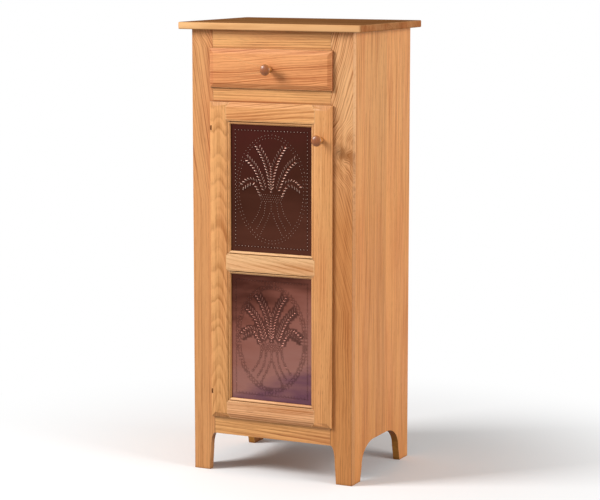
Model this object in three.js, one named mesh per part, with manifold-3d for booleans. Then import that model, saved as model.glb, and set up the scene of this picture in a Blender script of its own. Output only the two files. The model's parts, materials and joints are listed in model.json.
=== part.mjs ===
// Pie safe: a tall narrow oak cupboard with one drawer over one door, whose frame holds two punched
// copper panels. Millimetres, +Z up, the front faces -Y, and the origin is on the floor at the middle
// of the box that the whole piece fills, knobs included.
import * as THREE from "three";
import { mergeVertices } from "three/addons/utils/BufferGeometryUtils.js";
import Module from "manifold-3d";

const wasm = await Module();
wasm.setup();

// Clearances
const seatGap = 0.1; // a glue line, or two faces that rest on each other
const fitGap = 0.3; // round a tenon, a tail, a pin or a screw
const slideGap = 1.6; // round the drawer and the door in their openings
const overrun = 4; // how far a cutting shape passes the wood it cuts

// Case
const boardThickness = 19.05;
const caseWidth = 476.25;
const caseDepth = 381;
const stileWidth = 63.5;
const footHeight = 104.8;
const bottomRailHeight = 55;
const doorOpeningHeight = 850.9;
const middleRailHeight = 50.8;
const drawerOpeningHeight = 92.1;
const topRailHeight = 55.9;
const railTenonLength = 25.4;
const railTenonThickness = 6.35;
const railTenonShoulder = 9.5;
const frontFootWidth = 46.6;
const frontKneeWidth = 50.4;
const frontKneeHeight = 58.8;
const sideFootWidth = 56;
const sideKneeWidth = 66;
const sideKneeHeight = 42;
const sideArchRun = 80;
const sideArchHeight = 101;
const dadoDepth = 6.35;
const backThickness = 6.35;
const backRabbet = 9.5;
const cleatSize = 19.05;

// Top
const topThickness = 19.05;
const topOverhangSide = 31.75;
const topOverhangFront = 22.2;
const topEase = 2.4;
const topCornerRadius = 6;

// Shelves and their pins
const shelfThickness = 19.05;
const shelfEndGap = 1.6;
const shelfSetback = 6.35;
const lowerShelfHeight = 268; // from the cabinet floor to the shelf's underside
const upperShelfHeight = 556;
const pinRadius = 3.175;
const pinDepth = 9.5;
const pinReach = 12.7;
const pinInset = 50.8;
const pinTabThickness = 2.4;
const pinTabWidth = 12.7;

// Drawer
const lipOverlap = 6.35; // how far a front laps over the frame
const lipThickness = 9.525;
const frontThickness = 19.05;
const bevelWidth = 12.7;
const bevelDepth = 3.175;
const drawerLength = 333;
const drawerSideHeight = 79.4;
const drawerBoardThickness = 12.7;
const drawerBottomThickness = 6.35;
const drawerBottomInset = 9.5;
const grooveDepth = 6.35;
const tailLength = 12.7;
const runnerBearing = 22;
const guideWidth = 19.05;
const kickerThickness = 19.05;
const stopButtonThickness = 6.35;
const stopButtonWidth = 14;
const stopButtonHeight = 38;
const stopButtonRise = 20;
const stopButtonOffset = 40;

// Door
const doorStileWidth = 60.3;
const doorTopRailWidth = 58.7;
const doorMiddleRailWidth = 62.7;
const doorBottomRailWidth = 56.4;
const doorGap = 1; // from the lip's back to the frame
const hingeSideGap = 4; // from the door's body to the stile that carries its hinges
const stickingWidth = 11.9;
const stickingFillet = 0.7;
const beadWidth = 7.9;
const beadDrop = 1.9; // from the face to the top of the bead
const beadHeight = 5;
const flangeThickness = 9.5; // from the face to the copper
const panelLap = 6.35; // how far the copper lies behind the moulding
const panelPlay = 0.8;
const copperThickness = 0.7;
const doorTenonLength = 25.4;
const doorTenonThickness = 4.8;
const doorTenonShoulder = 14.3;
const retainerWidth = 6.35;
const retainerThickness = 6.35;

// Punches in the copper
const punchWidth = 2.8;
const punchHeight = 0.8;
const strokeLength = 7;
const strokePitch = 8.6;
const stemPitch = 6.6;
const borderPitch = 9.5;
const borderSideInset = 13.4;
const borderEndInset = 15;
const ovalSideInset = 20.4; // to the middle of the radial strokes
const ovalEndInset = 29.5;

// Knobs
const knobRadius = 15.1;
const knobReach = 34.9;
const knobRimReach = 27.5;
const knobBaseRadius = 7.9;
const knobBaseHeight = 1.8;
const knobNeckRadius = 5.6;
const knobNeckReach = 9.5;
const knobBoreDepth = 16;
const screwRadius = 2.1;
const screwHeadRadius = 4.6;
const screwHeadHeight = 2.4;
const doorKnobDrop = 90.5; // below the top of the door
const doorKnobInset = 30.1; // from the door's outer edge

// Hinges and catch
const hingeInset = 3.2; // from the door's outer edge to the hinge pin
const hingeReach = 7; // from the frame's face to the hinge pin
const hingeDrop = 70.5; // from each end of the door to the middle of a hinge
const knuckleRadius = 2.4;
const knuckleHeight = 4.4;
const hingePinRadius = 1;
const hingePinHeadRadius = 2;
const hingePinHeadHeight = 1.8;
const leafThickness = 1.6;
const leafHeight = 38;
const frameLeafDepth = 16;
const doorLeafWidth = 20;
const catchWidth = 40;
const catchInset = 14; // from the opening's edge to the catch
const catchHeight = 14;
const catchDepth = 24;
const catchFlangeHeight = 18;
const catchFlangeThickness = 2;
const strikeThickness = 1.2;
const strikeHeight = 10;
const strikeWidth = 30;

// Heights and half widths that follow
const doorOpeningLow = footHeight + bottomRailHeight;
const doorOpeningHigh = doorOpeningLow + doorOpeningHeight;
const drawerOpeningLow = doorOpeningHigh + middleRailHeight;
const drawerOpeningHigh = drawerOpeningLow + drawerOpeningHeight;
const caseHeight = drawerOpeningHigh + topRailHeight;
const caseHalf = caseWidth / 2;
const insideHalf = caseHalf - boardThickness;
const openingHalf = caseHalf - stileWidth;
const lipHalf = openingHalf + lipOverlap;
const floorLow = doorOpeningLow - boardThickness;
const backFace = caseDepth - backThickness;
const doorFace = -doorGap - lipThickness;
const frontReach = -doorFace + seatGap + knobReach;

// Materials
const oak = new THREE.MeshStandardMaterial({ color: 0xdb9f60, roughness: 0.45, metalness: 0 });
const innerOak = new THREE.MeshStandardMaterial({ color: 0xd3a56e, roughness: 0.6, metalness: 0 });
const plywood = new THREE.MeshStandardMaterial({ color: 0xcfa878, roughness: 0.65, metalness: 0 });
const knobWood = new THREE.MeshStandardMaterial({ color: 0xb4703c, roughness: 0.35, metalness: 0 });
const copper = new THREE.MeshStandardMaterial({ color: 0x5a2f28, roughness: 0.3, metalness: 1 });
const brass = new THREE.MeshStandardMaterial({ color: 0x5c3a1c, roughness: 0.4, metalness: 1 });
const steel = new THREE.MeshStandardMaterial({ color: 0xa8a8a4, roughness: 0.35, metalness: 1 });
const catchBrown = new THREE.MeshStandardMaterial({ color: 0x5b4433, roughness: 0.5, metalness: 0 });

// A box between two values along each axis
function block([x0, x1], [y0, y1], [z0, z1]) {
  const box = new THREE.BoxGeometry(x1 - x0, y1 - y0, z1 - z0);
  return box.translate((x0 + x1) / 2, (y0 + y1) / 2, (z0 + z1) / 2);
}

// An outline carried along one axis. It is drawn in the other two, in the order x, y, z.
function prism(outline, axis, [low, high]) {
  const shape = new THREE.Shape(outline.map(([a, b]) => new THREE.Vector2(a, b)));
  const geometry = new THREE.ExtrudeGeometry(shape, { depth: high - low, bevelEnabled: false });
  const x = new THREE.Vector3(1, 0, 0);
  const y = new THREE.Vector3(0, 1, 0);
  const z = new THREE.Vector3(0, 0, 1);
  const turn = new THREE.Matrix4();
  if (axis === "x") {
    geometry.applyMatrix4(turn.makeBasis(y, z, x));
    return geometry.translate(low, 0, 0);
  }
  if (axis === "y") {
    geometry.applyMatrix4(turn.makeBasis(x, z, y.negate()));
    return geometry.translate(0, high, 0);
  }
  return geometry.translate(0, 0, low);
}

// A round bar along one axis, round the point given in the other two
function bar(radius, axis, [a, b], [low, high], sides = 16) {
  const ring = Array.from({ length: sides }, (unused, i) => {
    const angle = (2 * Math.PI * i) / sides;
    return [a + radius * Math.cos(angle), b + radius * Math.sin(angle)];
  });
  return prism(ring, axis, [low, high]);
}

// Points along a quarter of an ellipse, from its side to its top
function quarterEllipse([a, b], [radiusA, radiusB], steps) {
  return Array.from({ length: steps + 1 }, (unused, i) => {
    const angle = (Math.PI / 2) * (i / steps);
    return [a - radiusA * Math.cos(angle), b + radiusB * Math.sin(angle)];
  });
}

// Solids for cutting and joining
function solid(geometry) {
  const bare = geometry.clone();
  bare.deleteAttribute("normal");
  bare.deleteAttribute("uv");
  const merged = mergeVertices(bare);
  const mesh = new wasm.Mesh({
    numProp: 3,
    vertProperties: merged.attributes.position.array,
    triVerts: new Uint32Array(merged.index.array),
  });
  return new wasm.Manifold(mesh);
}

function geometryOf(body) {
  const { vertProperties, triVerts } = body.getMesh();
  const geometry = new THREE.BufferGeometry();
  geometry.setAttribute("position", new THREE.BufferAttribute(vertProperties, 3));
  geometry.setIndex(new THREE.BufferAttribute(triVerts, 1));
  const flat = geometry.toNonIndexed();
  flat.computeVertexNormals();
  return flat;
}

function cut(geometry, ...cutters) {
  return geometryOf(cutters.reduce((left, cutter) => left.subtract(solid(cutter)), solid(geometry)));
}

function join(geometry, ...others) {
  return geometryOf(others.reduce((whole, other) => whole.add(solid(other)), solid(geometry)));
}

function common(geometry, other) {
  return geometryOf(solid(geometry).intersect(solid(other)));
}

const cabinet = new THREE.Group();
const drawer = new THREE.Group();
const door = new THREE.Group();
cabinet.position.y = (frontReach - caseDepth) / 2;
drawer.position.z = drawerOpeningLow;
door.position.z = doorOpeningLow - lipOverlap;
cabinet.add(drawer, door);

function piece(name, geometry, material, group = cabinet) {
  const mesh = new THREE.Mesh(geometry, material);
  mesh.name = name;
  group.add(mesh);
}

const sides = { left: -1, right: 1 };
const between = (a, b) => [Math.min(a, b), Math.max(a, b)];

// Face frame: two stiles that run down into curved feet, and three rails tenoned between them
const railSpans = {
  bottom: [footHeight, doorOpeningLow],
  middle: [doorOpeningHigh, drawerOpeningLow],
  top: [drawerOpeningHigh, caseHeight],
};

function railTenon([low, high], side, gap) {
  const middle = boardThickness / 2;
  const half = railTenonThickness / 2 + gap;
  const root = side * (openingHalf - railTenonLength);
  const tip = side * (openingHalf + railTenonLength + gap);
  const shoulder = railTenonShoulder - gap;
  return block(between(root, tip), [middle - half, middle + half], [low + shoulder, high - shoulder]);
}

function faceStile(side) {
  const archRadii = [stileWidth - frontKneeWidth, footHeight - frontKneeHeight];
  const outline = [
    [0, 0],
    [frontFootWidth, 0],
    ...quarterEllipse([stileWidth, frontKneeHeight], archRadii, 8),
    [stileWidth, caseHeight],
    [0, caseHeight],
  ].map(([inward, height]) => [side * (caseHalf - inward), height]);
  const mortises = Object.values(railSpans).map((span) => railTenon(span, side, fitGap));
  return cut(prism(outline, "y", [0, boardThickness]), ...mortises);
}

function faceRail(span) {
  const half = openingHalf - seatGap;
  const body = block([-half, half], [0, boardThickness], span);
  return join(body, railTenon(span, sides.left, 0), railTenon(span, sides.right, 0));
}

for (const [name, side] of Object.entries(sides)) {
  piece(`face_stile_${name}`, faceStile(side), oak);
}
for (const [name, span] of Object.entries(railSpans)) {
  piece(`face_rail_${name}`, faceRail(span), oak);
}

// Side panels: planks with an arched foot, a groove for the floor, a rabbet for the back and blind
// holes for the shelf pins
const shelfFront = boardThickness + shelfSetback;
const shelfBack = backFace - shelfEndGap;
const pinPlaces = [lowerShelfHeight, upperShelfHeight].flatMap((height) =>
  [shelfFront + pinInset, shelfBack - pinInset].map((y) => ({
    y,
    z: doorOpeningLow + height - seatGap - pinTabThickness - pinRadius,
  })),
);

function sidePanel(side) {
  const front = boardThickness + seatGap;
  const arch = [
    [sideFootWidth, 0],
    ...quarterEllipse(
      [sideKneeWidth + sideArchRun, sideKneeHeight],
      [sideArchRun, sideArchHeight - sideKneeHeight],
      10,
    ),
  ];
  const rearArch = arch.map(([y, z]) => [caseDepth - y, z]).reverse();
  const outline = [
    [front, 0],
    ...arch,
    ...rearArch,
    [caseDepth, 0],
    [caseDepth, caseHeight],
    [front, caseHeight],
  ];
  const inner = side * insideHalf;
  const dado = block(
    between(inner - side * overrun, inner + side * dadoDepth),
    [front - overrun, backFace + overrun],
    [floorLow - seatGap, doorOpeningLow + seatGap],
  );
  const rabbet = block(
    between(inner - side * overrun, inner + side * backRabbet),
    [backFace - seatGap, caseDepth + overrun],
    [floorLow - seatGap, caseHeight + overrun],
  );
  const holeSpan = between(inner - side * overrun, inner + side * (pinDepth + fitGap));
  const holes = pinPlaces.map(({ y, z }) => bar(pinRadius + fitGap, "x", [y, z], holeSpan, 12));
  return cut(prism(outline, "x", between(inner, side * caseHalf)), dado, rabbet, ...holes);
}

for (const [name, side] of Object.entries(sides)) {
  piece(`side_panel_${name}`, sidePanel(side), oak);
}

// Back, floor, top and the cleats that hold the top
const backHalf = insideHalf + backRabbet - fitGap;
piece(
  "back_panel",
  block([-backHalf, backHalf], [backFace, caseDepth], [floorLow, caseHeight]),
  plywood,
);

const insideFront = boardThickness + seatGap;
const insideBack = backFace - 2 * seatGap;
const floorHalf = insideHalf + dadoDepth - fitGap;
piece(
  "cabinet_floor",
  block([-floorHalf, floorHalf], [insideFront, insideBack], [floorLow, doorOpeningLow]),
  innerOak,
);

function topBoard() {
  const half = caseHalf + topOverhangSide - topEase;
  const front = -topOverhangFront + topEase;
  const back = caseDepth - topEase;
  const round = topCornerRadius - topEase;
  const shape = new THREE.Shape();
  shape.moveTo(-half + round, front);
  shape.lineTo(half - round, front);
  shape.absarc(half - round, front + round, round, -Math.PI / 2, 0);
  shape.lineTo(half, back);
  shape.lineTo(-half, back);
  shape.lineTo(-half, front + round);
  shape.absarc(-half + round, front + round, round, Math.PI, 1.5 * Math.PI);
  const geometry = new THREE.ExtrudeGeometry(shape, {
    depth: topThickness - 2 * topEase,
    bevelThickness: topEase,
    bevelSize: topEase,
    bevelSegments: 3,
    curveSegments: 4,
  });
  return geometry.translate(0, 0, caseHeight + seatGap + topEase);
}

piece("top_board", topBoard(), oak);

for (const [name, side] of Object.entries(sides)) {
  const outer = side * (insideHalf - seatGap);
  const inner = side * (insideHalf - seatGap - cleatSize);
  const heights = [caseHeight - cleatSize, caseHeight];
  piece(`top_cleat_${name}`, block(between(outer, inner), [insideFront, insideBack], heights), innerOak);
}

// Shelves, each on four pins with a flat tab
const shelfHalf = insideHalf - shelfEndGap;

function shelfPin(side, { y, z }) {
  const wall = side * insideHalf;
  const tip = side * (insideHalf - pinReach);
  const shank = bar(pinRadius, "x", [y, z], between(wall + side * pinDepth, tip), 12);
  const tab = block(
    between(wall - side * seatGap, tip),
    [y - pinTabWidth / 2, y + pinTabWidth / 2],
    [z + pinRadius - seatGap, z + pinRadius + pinTabThickness],
  );
  return join(shank, tab);
}

const shelves = { lower: lowerShelfHeight, upper: upperShelfHeight };
Object.entries(shelves).forEach(([name, height], row) => {
  const low = doorOpeningLow + height;
  const heights = [low, low + shelfThickness];
  const board = block([-shelfHalf, shelfHalf], [shelfFront, shelfBack], heights);
  piece(`shelf_${name}`, board, innerOak);
  const rowPins = { front: pinPlaces[2 * row], back: pinPlaces[2 * row + 1] };
  for (const [sideName, side] of Object.entries(sides)) {
    for (const [endName, place] of Object.entries(rowPins)) {
      piece(`shelf_pin_${name}_${sideName}_${endName}`, shelfPin(side, place), brass);
    }
  }
});

// Drawer way: runners under the drawer's sides, guides beside them and a kicker above
for (const [name, side] of Object.entries(sides)) {
  const outer = side * (insideHalf - seatGap);
  const inner = side * (openingHalf - runnerBearing);
  const runnerHeights = [drawerOpeningLow - boardThickness, drawerOpeningLow];
  const runner = block(between(outer, inner), [insideFront, insideBack], runnerHeights);
  piece(`drawer_runner_${name}`, runner, innerOak);
  const guideLow = drawerOpeningLow + seatGap;
  const guide = block(
    between(side * openingHalf, side * (openingHalf + guideWidth)),
    [insideFront, insideBack],
    [guideLow, guideLow + boardThickness],
  );
  piece(`drawer_guide_${name}`, guide, innerOak);
}
piece(
  "drawer_kicker",
  block(
    [-kickerThickness / 2, kickerThickness / 2],
    [insideFront, insideBack],
    [drawerOpeningHigh, caseHeight],
  ),
  innerOak,
);

// A stack of rectangles from back to front, joined by flat sides, for a lipped and bevelled front
function rectangleLoft(rings) {
  const points = rings.flatMap(({ x: [x0, x1], z: [z0, z1], y }) => [
    [x0, y, z0],
    [x1, y, z0],
    [x1, y, z1],
    [x0, y, z1],
  ]);
  const faces = [[3, 2, 1, 0]];
  for (let ring = 0; ring < rings.length - 1; ring += 1) {
    for (let corner = 0; corner < 4; corner += 1) {
      const here = 4 * ring + corner;
      const next = 4 * ring + ((corner + 1) % 4);
      faces.push([here, next, next + 4, here + 4]);
    }
  }
  const last = 4 * (rings.length - 1);
  faces.push([last, last + 1, last + 2, last + 3]);
  const corners = faces.flatMap(([a, b, c, d]) => [a, b, c, a, c, d]).flatMap((i) => points[i]);
  const geometry = new THREE.BufferGeometry();
  geometry.setAttribute("position", new THREE.Float32BufferAttribute(corners, 3));
  geometry.computeVertexNormals();
  return geometry;
}

function lippedFront(openingHeight, lipBack, leftGap) {
  const bodyBack = lipBack + frontThickness - lipThickness;
  const face = lipBack - lipThickness;
  const bodyX = [-openingHalf + leftGap, openingHalf - slideGap];
  const bodyZ = [slideGap, openingHeight - slideGap];
  const lipX = [-lipHalf, lipHalf];
  const lipZ = [-lipOverlap, openingHeight + lipOverlap];
  const inner = ([low, high]) => [low + bevelWidth, high - bevelWidth];
  return rectangleLoft([
    { x: bodyX, z: bodyZ, y: bodyBack },
    { x: bodyX, z: bodyZ, y: lipBack },
    { x: lipX, z: lipZ, y: lipBack },
    { x: lipX, z: lipZ, y: face + bevelDepth },
    { x: inner(lipX), z: inner(lipZ), y: face },
  ]);
}

// Drawer: a lipped front dovetailed to two sides, whose far ends are dovetailed to the back
const tailCount = 3;
const tailRootShare = 0.27;
const tailTipShare = 0.38;
const drawerLipBack = -fitGap;
const drawerInside = drawerLipBack + frontThickness - lipThickness;
const drawerFace = drawerLipBack - lipThickness;
const drawerHalf = openingHalf - slideGap;
const drawerSideLow = fitGap;
const drawerSideHigh = drawerSideLow + drawerSideHeight;
const drawerBottomLow = drawerSideLow + drawerBottomInset;
const drawerBottomHigh = drawerBottomLow + drawerBottomThickness;
const drawerBackLow = drawerBottomHigh + seatGap;
const drawerEnd = drawerInside + drawerLength;
const drawerBackFront = drawerEnd - drawerBoardThickness;

// Tails from one height to another, as points in y and z, from their root to their tip. A socket for
// them is wider by a gap all round, and runs past their tip.
function tails([low, high], root, tip, gap = 0, past = gap) {
  const pitch = (high - low) / tailCount;
  const direction = Math.sign(tip - root);
  const halfAt = (y) => {
    const way = (y - root) / (tip - root);
    return pitch * THREE.MathUtils.lerp(tailRootShare, tailTipShare, way) + gap;
  };
  const start = root - direction * gap;
  const end = tip + direction * past;
  return Array.from({ length: tailCount }, (unused, i) => {
    const middle = low + pitch * (i + 1 / 2);
    return [
      [start, middle - halfAt(start)],
      [end, middle - halfAt(end)],
      [end, middle + halfAt(end)],
      [start, middle + halfAt(start)],
    ];
  });
}

const frontRoot = drawerInside + seatGap;
const frontTip = drawerInside - tailLength;
const backRoot = drawerBackFront - seatGap;
const frontTailHeights = [drawerSideLow, drawerSideHigh];
const backTailHeights = [drawerBackLow, drawerSideHigh];

function frontSockets(side) {
  const outer = side * (drawerHalf + fitGap);
  const inner = side * (drawerHalf - drawerBoardThickness - fitGap);
  const shapes = tails(frontTailHeights, frontRoot, frontTip, fitGap);
  return shapes.map((shape) => prism(shape, "x", between(outer, inner)));
}

function backSockets(side) {
  const outer = side * (drawerHalf + overrun);
  const inner = side * (drawerHalf - drawerBoardThickness - fitGap);
  const shapes = tails(backTailHeights, backRoot, drawerEnd, fitGap, overrun);
  return shapes.map((shape) => prism(shape, "x", between(outer, inner)));
}

function drawerSide(side) {
  const outline = [
    [frontRoot, drawerSideLow],
    [drawerEnd, drawerSideLow],
    [drawerEnd, drawerBackLow - fitGap],
    [backRoot, drawerBackLow - fitGap],
    ...tails(backTailHeights, backRoot, drawerEnd).flat(),
    [backRoot, drawerSideHigh],
    [frontRoot, drawerSideHigh],
    ...tails(frontTailHeights, frontRoot, frontTip).flat().reverse(),
  ];
  const inner = side * (drawerHalf - drawerBoardThickness);
  const groove = block(
    between(inner - side * overrun, inner + side * grooveDepth),
    [drawerInside - tailLength - overrun, drawerEnd + overrun],
    [drawerBottomLow - seatGap, drawerBottomHigh + seatGap],
  );
  return cut(prism(outline, "x", between(inner, side * drawerHalf)), groove);
}

const bottomHalf = drawerHalf - drawerBoardThickness + grooveDepth - fitGap;
const frontGroove = block(
  [-bottomHalf - fitGap, bottomHalf + fitGap],
  [drawerInside - grooveDepth, drawerInside + overrun],
  [drawerBottomLow - seatGap, drawerBottomHigh + seatGap],
);
const drawerKnobPlace = [0, drawerOpeningHeight / 2];
const drawerScrewHole = bar(
  screwRadius + fitGap,
  "y",
  drawerKnobPlace,
  [drawerFace - overrun, drawerInside + overrun],
);
piece(
  "drawer_front",
  cut(
    lippedFront(drawerOpeningHeight, drawerLipBack, slideGap),
    frontGroove,
    drawerScrewHole,
    ...frontSockets(sides.left),
    ...frontSockets(sides.right),
  ),
  oak,
  drawer,
);
for (const [name, side] of Object.entries(sides)) {
  piece(`drawer_side_${name}`, drawerSide(side), innerOak, drawer);
}
piece(
  "drawer_back",
  cut(
    block([-drawerHalf, drawerHalf], [drawerBackFront, drawerEnd], [drawerBackLow, drawerSideHigh]),
    ...backSockets(sides.left),
    ...backSockets(sides.right),
  ),
  innerOak,
  drawer,
);
piece(
  "drawer_bottom",
  block(
    [-bottomHalf, bottomHalf],
    [drawerInside - grooveDepth + fitGap, drawerEnd],
    [drawerBottomLow, drawerBottomHigh],
  ),
  plywood,
  drawer,
);

// The stop is a turn button on the drawer's back. It catches behind the top rail.
function stopButton() {
  const half = stopButtonWidth / 2;
  const high = drawerSideHigh + stopButtonRise - half;
  const low = high - stopButtonHeight + stopButtonWidth;
  const steps = 6;
  const end = (middle, from) =>
    Array.from({ length: steps + 1 }, (unused, i) => {
      const angle = from + (Math.PI * i) / steps;
      return [stopButtonOffset + half * Math.cos(angle), middle + half * Math.sin(angle)];
    });
  const face = drawerBackFront - seatGap;
  return prism([...end(high, 0), ...end(low, Math.PI)], "y", [face - stopButtonThickness, face]);
}

piece("drawer_stop", stopButton(), innerOak, drawer);

// Knobs: a mushroom turned on its axis, with a blind bore, held by a screw from inside
function knob([x, z], face) {
  const bore = screwRadius + fitGap;
  const neck = new THREE.CubicBezierCurve(
    new THREE.Vector2(knobBaseRadius, knobBaseHeight),
    new THREE.Vector2(knobNeckRadius, knobNeckReach / 2),
    new THREE.Vector2(knobNeckRadius, (knobNeckReach + knobRimReach) / 2),
    new THREE.Vector2(knobRadius, knobRimReach),
  );
  const steps = 5;
  const crown = Array.from({ length: steps }, (unused, i) => {
    const angle = (Math.PI / 2) * ((i + 1) / steps);
    const reach = knobRimReach + (knobReach - knobRimReach) * Math.sin(angle);
    return new THREE.Vector2(i + 1 < steps ? knobRadius * Math.cos(angle) : 0, reach);
  });
  const profile = [
    new THREE.Vector2(0, knobBoreDepth),
    new THREE.Vector2(bore, knobBoreDepth),
    new THREE.Vector2(bore, 0),
    new THREE.Vector2(knobBaseRadius, 0),
    ...neck.getPoints(7),
    ...crown,
  ];
  const turned = new THREE.LatheGeometry(profile, 24);
  return turned.rotateX(Math.PI).translate(x, face - seatGap, z);
}

function knobScrew([x, z], face, inside) {
  const head = inside + seatGap;
  const tip = face - seatGap - knobBoreDepth + fitGap;
  const shank = bar(screwRadius, "y", [x, z], [tip, head + screwHeadHeight / 2], 12);
  return join(shank, bar(screwHeadRadius, "y", [x, z], [head, head + screwHeadHeight], 12));
}

piece("drawer_knob", knob(drawerKnobPlace, drawerFace), knobWood, drawer);
piece("drawer_knob_screw", knobScrew(drawerKnobPlace, drawerFace, drawerInside), steel, drawer);

// Door: stiles with a moulded inner edge, rails coped over that moulding and tenoned behind it. The
// outer edge is cut round the whole frame, so each member is what it has in common with a blank.
const doorHeight = doorOpeningHeight + 2 * lipOverlap;
const doorBack = -doorGap + frontThickness - lipThickness;
const flangeBack = doorFace + flangeThickness;
const rabbetWidth = panelLap + panelPlay;
const sightHalf = lipHalf - doorStileWidth;
const middleRailLow =
  doorBottomRailWidth + (doorHeight - doorTopRailWidth - doorMiddleRailWidth - doorBottomRailWidth) / 2;
const doorBlank = lippedFront(doorOpeningHeight, -doorGap, hingeSideGap).translate(0, 0, lipOverlap);
const doorRails = {
  bottom: { low: -overrun, high: doorBottomRailWidth, mouldedLow: false, mouldedHigh: true },
  middle: {
    low: middleRailLow,
    high: middleRailLow + doorMiddleRailWidth,
    mouldedLow: true,
    mouldedHigh: true,
  },
  top: {
    low: doorHeight - doorTopRailWidth,
    high: doorHeight + overrun,
    mouldedLow: true,
    mouldedHigh: false,
  },
};

// The moulded edge: a shallow fillet, a step, a bead and the flange that the copper lies on. Each
// point is how far it lies back from the opening, and its place from front to back.
const beadTop = doorFace + beadDrop;
const mouldedEdge = [
  [stickingWidth, doorFace],
  [stickingWidth - stickingFillet, doorFace + stickingFillet],
  [beadWidth + stickingFillet, doorFace + stickingFillet],
  ...quarterEllipse([beadWidth, beadTop + beadHeight], [beadWidth, -beadHeight], 5).reverse(),
  [0, flangeBack],
  [rabbetWidth, flangeBack],
  [rabbetWidth, doorBack],
];

function doorStile(side, shift) {
  const edge = mouldedEdge.map(([back, y]) => [side * (sightHalf + back - shift), y]);
  const outer = side * (lipHalf + overrun);
  const outline = [...edge, [outer, doorBack], [outer, doorFace]];
  return prism(outline, "z", [-overrun, doorHeight + overrun]);
}

function doorTenon({ low, high, mouldedLow, mouldedHigh }, side, gap) {
  const middle = (flangeBack + doorBack) / 2;
  const half = doorTenonThickness / 2 + gap;
  const root = side * (sightHalf - doorTenonLength);
  const tip = side * (sightHalf + doorTenonLength + gap);
  const foot = (mouldedLow ? low : 0) + doorTenonShoulder - gap;
  const head = (mouldedHigh ? high : doorHeight) - doorTenonShoulder + gap;
  return block(between(root, tip), [middle - half, middle + half], [foot, head]);
}

function doorRail(rail) {
  const { low, high, mouldedLow, mouldedHigh } = rail;
  const lower = mouldedLow
    ? mouldedEdge.map(([back, y]) => [y, low + back])
    : [[doorFace, low], [doorBack, low]];
  const upper = mouldedHigh
    ? mouldedEdge.map(([back, y]) => [y, high - back])
    : [[doorFace, high], [doorBack, high]];
  const half = sightHalf + stickingWidth;
  const moulded = prism([...lower, ...upper.reverse()], "x", [-half, half]);
  const coped = cut(moulded, doorStile(sides.left, fitGap), doorStile(sides.right, fitGap));
  const tenoned = join(coped, doorTenon(rail, sides.left, 0), doorTenon(rail, sides.right, 0));
  return common(tenoned, doorBlank);
}

const hingeHeights = { lower: hingeDrop, upper: doorHeight - hingeDrop };
const hingeX = -lipHalf + hingeInset;
const hingeY = -hingeReach;
const hingeHalf = knuckleHeight + 2 * seatGap + hingePinHeadHeight;
const doorKnobPlace = [lipHalf - doorKnobInset, doorHeight - doorKnobDrop];
const bodyEdge = -openingHalf + hingeSideGap;

// Each hinge needs a notch in the lip for its knuckles, and a slot behind the face for its straps
function hingeCuts(height) {
  const heights = [height - hingeHalf - fitGap, height + hingeHalf + fitGap];
  const notchEnd = hingeX + knuckleRadius + fitGap;
  const notch = block([-lipHalf - overrun, notchEnd], [doorFace - overrun, doorBack], heights);
  const slotFront = hingeY + knuckleRadius - leafThickness - fitGap;
  const slot = block([notchEnd - overrun, bodyEdge], [slotFront, -doorGap + seatGap], heights);
  return [notch, slot];
}

function finishedStile(side) {
  const mortises = Object.values(doorRails).map((rail) => doorTenon(rail, side, fitGap));
  const cuts = side === sides.left ? Object.values(hingeHeights).flatMap(hingeCuts) : [];
  if (side === sides.right) {
    const span = [doorFace - overrun, doorBack + overrun];
    cuts.push(bar(screwRadius + fitGap, "y", doorKnobPlace, span));
  }
  return cut(common(doorStile(side, 0), doorBlank), ...mortises, ...cuts);
}

piece("door_stile_left", finishedStile(sides.left), oak, door);
piece("door_stile_right", finishedStile(sides.right), oak, door);
for (const [name, rail] of Object.entries(doorRails)) {
  piece(`door_rail_${name}`, doorRail(rail), oak, door);
}
piece("door_knob", knob(doorKnobPlace, doorFace), knobWood, door);
piece("door_knob_screw", knobScrew(doorKnobPlace, doorFace, doorBack), steel, door);

// Copper panels in the door's rabbets, each held by four mitred strips
const openings = {
  lower: [doorBottomRailWidth, middleRailLow],
  upper: [middleRailLow + doorMiddleRailWidth, doorHeight - doorTopRailWidth],
};

function retainers(name, [low, high]) {
  const front = flangeBack + copperThickness + 2 * seatGap;
  const depth = [front, front + retainerThickness];
  const gap = seatGap;
  const outerX = sightHalf + rabbetWidth - gap;
  const innerX = outerX - retainerWidth;
  const outerZ = [low - rabbetWidth + gap, high + rabbetWidth - gap];
  const innerZ = [outerZ[0] + retainerWidth, outerZ[1] - retainerWidth];
  const upright = (side) => [
    [side * outerX, outerZ[0] + fitGap],
    [side * outerX, outerZ[1] - fitGap],
    [side * innerX, innerZ[1] - fitGap],
    [side * innerX, innerZ[0] + fitGap],
  ];
  const level = (end) => [
    [-outerX, outerZ[end]],
    [outerX, outerZ[end]],
    [innerX, innerZ[end]],
    [-innerX, innerZ[end]],
  ];
  piece(`retainer_${name}_left`, prism(upright(sides.left), "y", depth), innerOak, door);
  piece(`retainer_${name}_right`, prism(upright(sides.right), "y", depth), innerOak, door);
  piece(`retainer_${name}_bottom`, prism(level(0), "y", depth), innerOak, door);
  piece(`retainer_${name}_top`, prism(level(1), "y", depth), innerOak, door);
}

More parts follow.
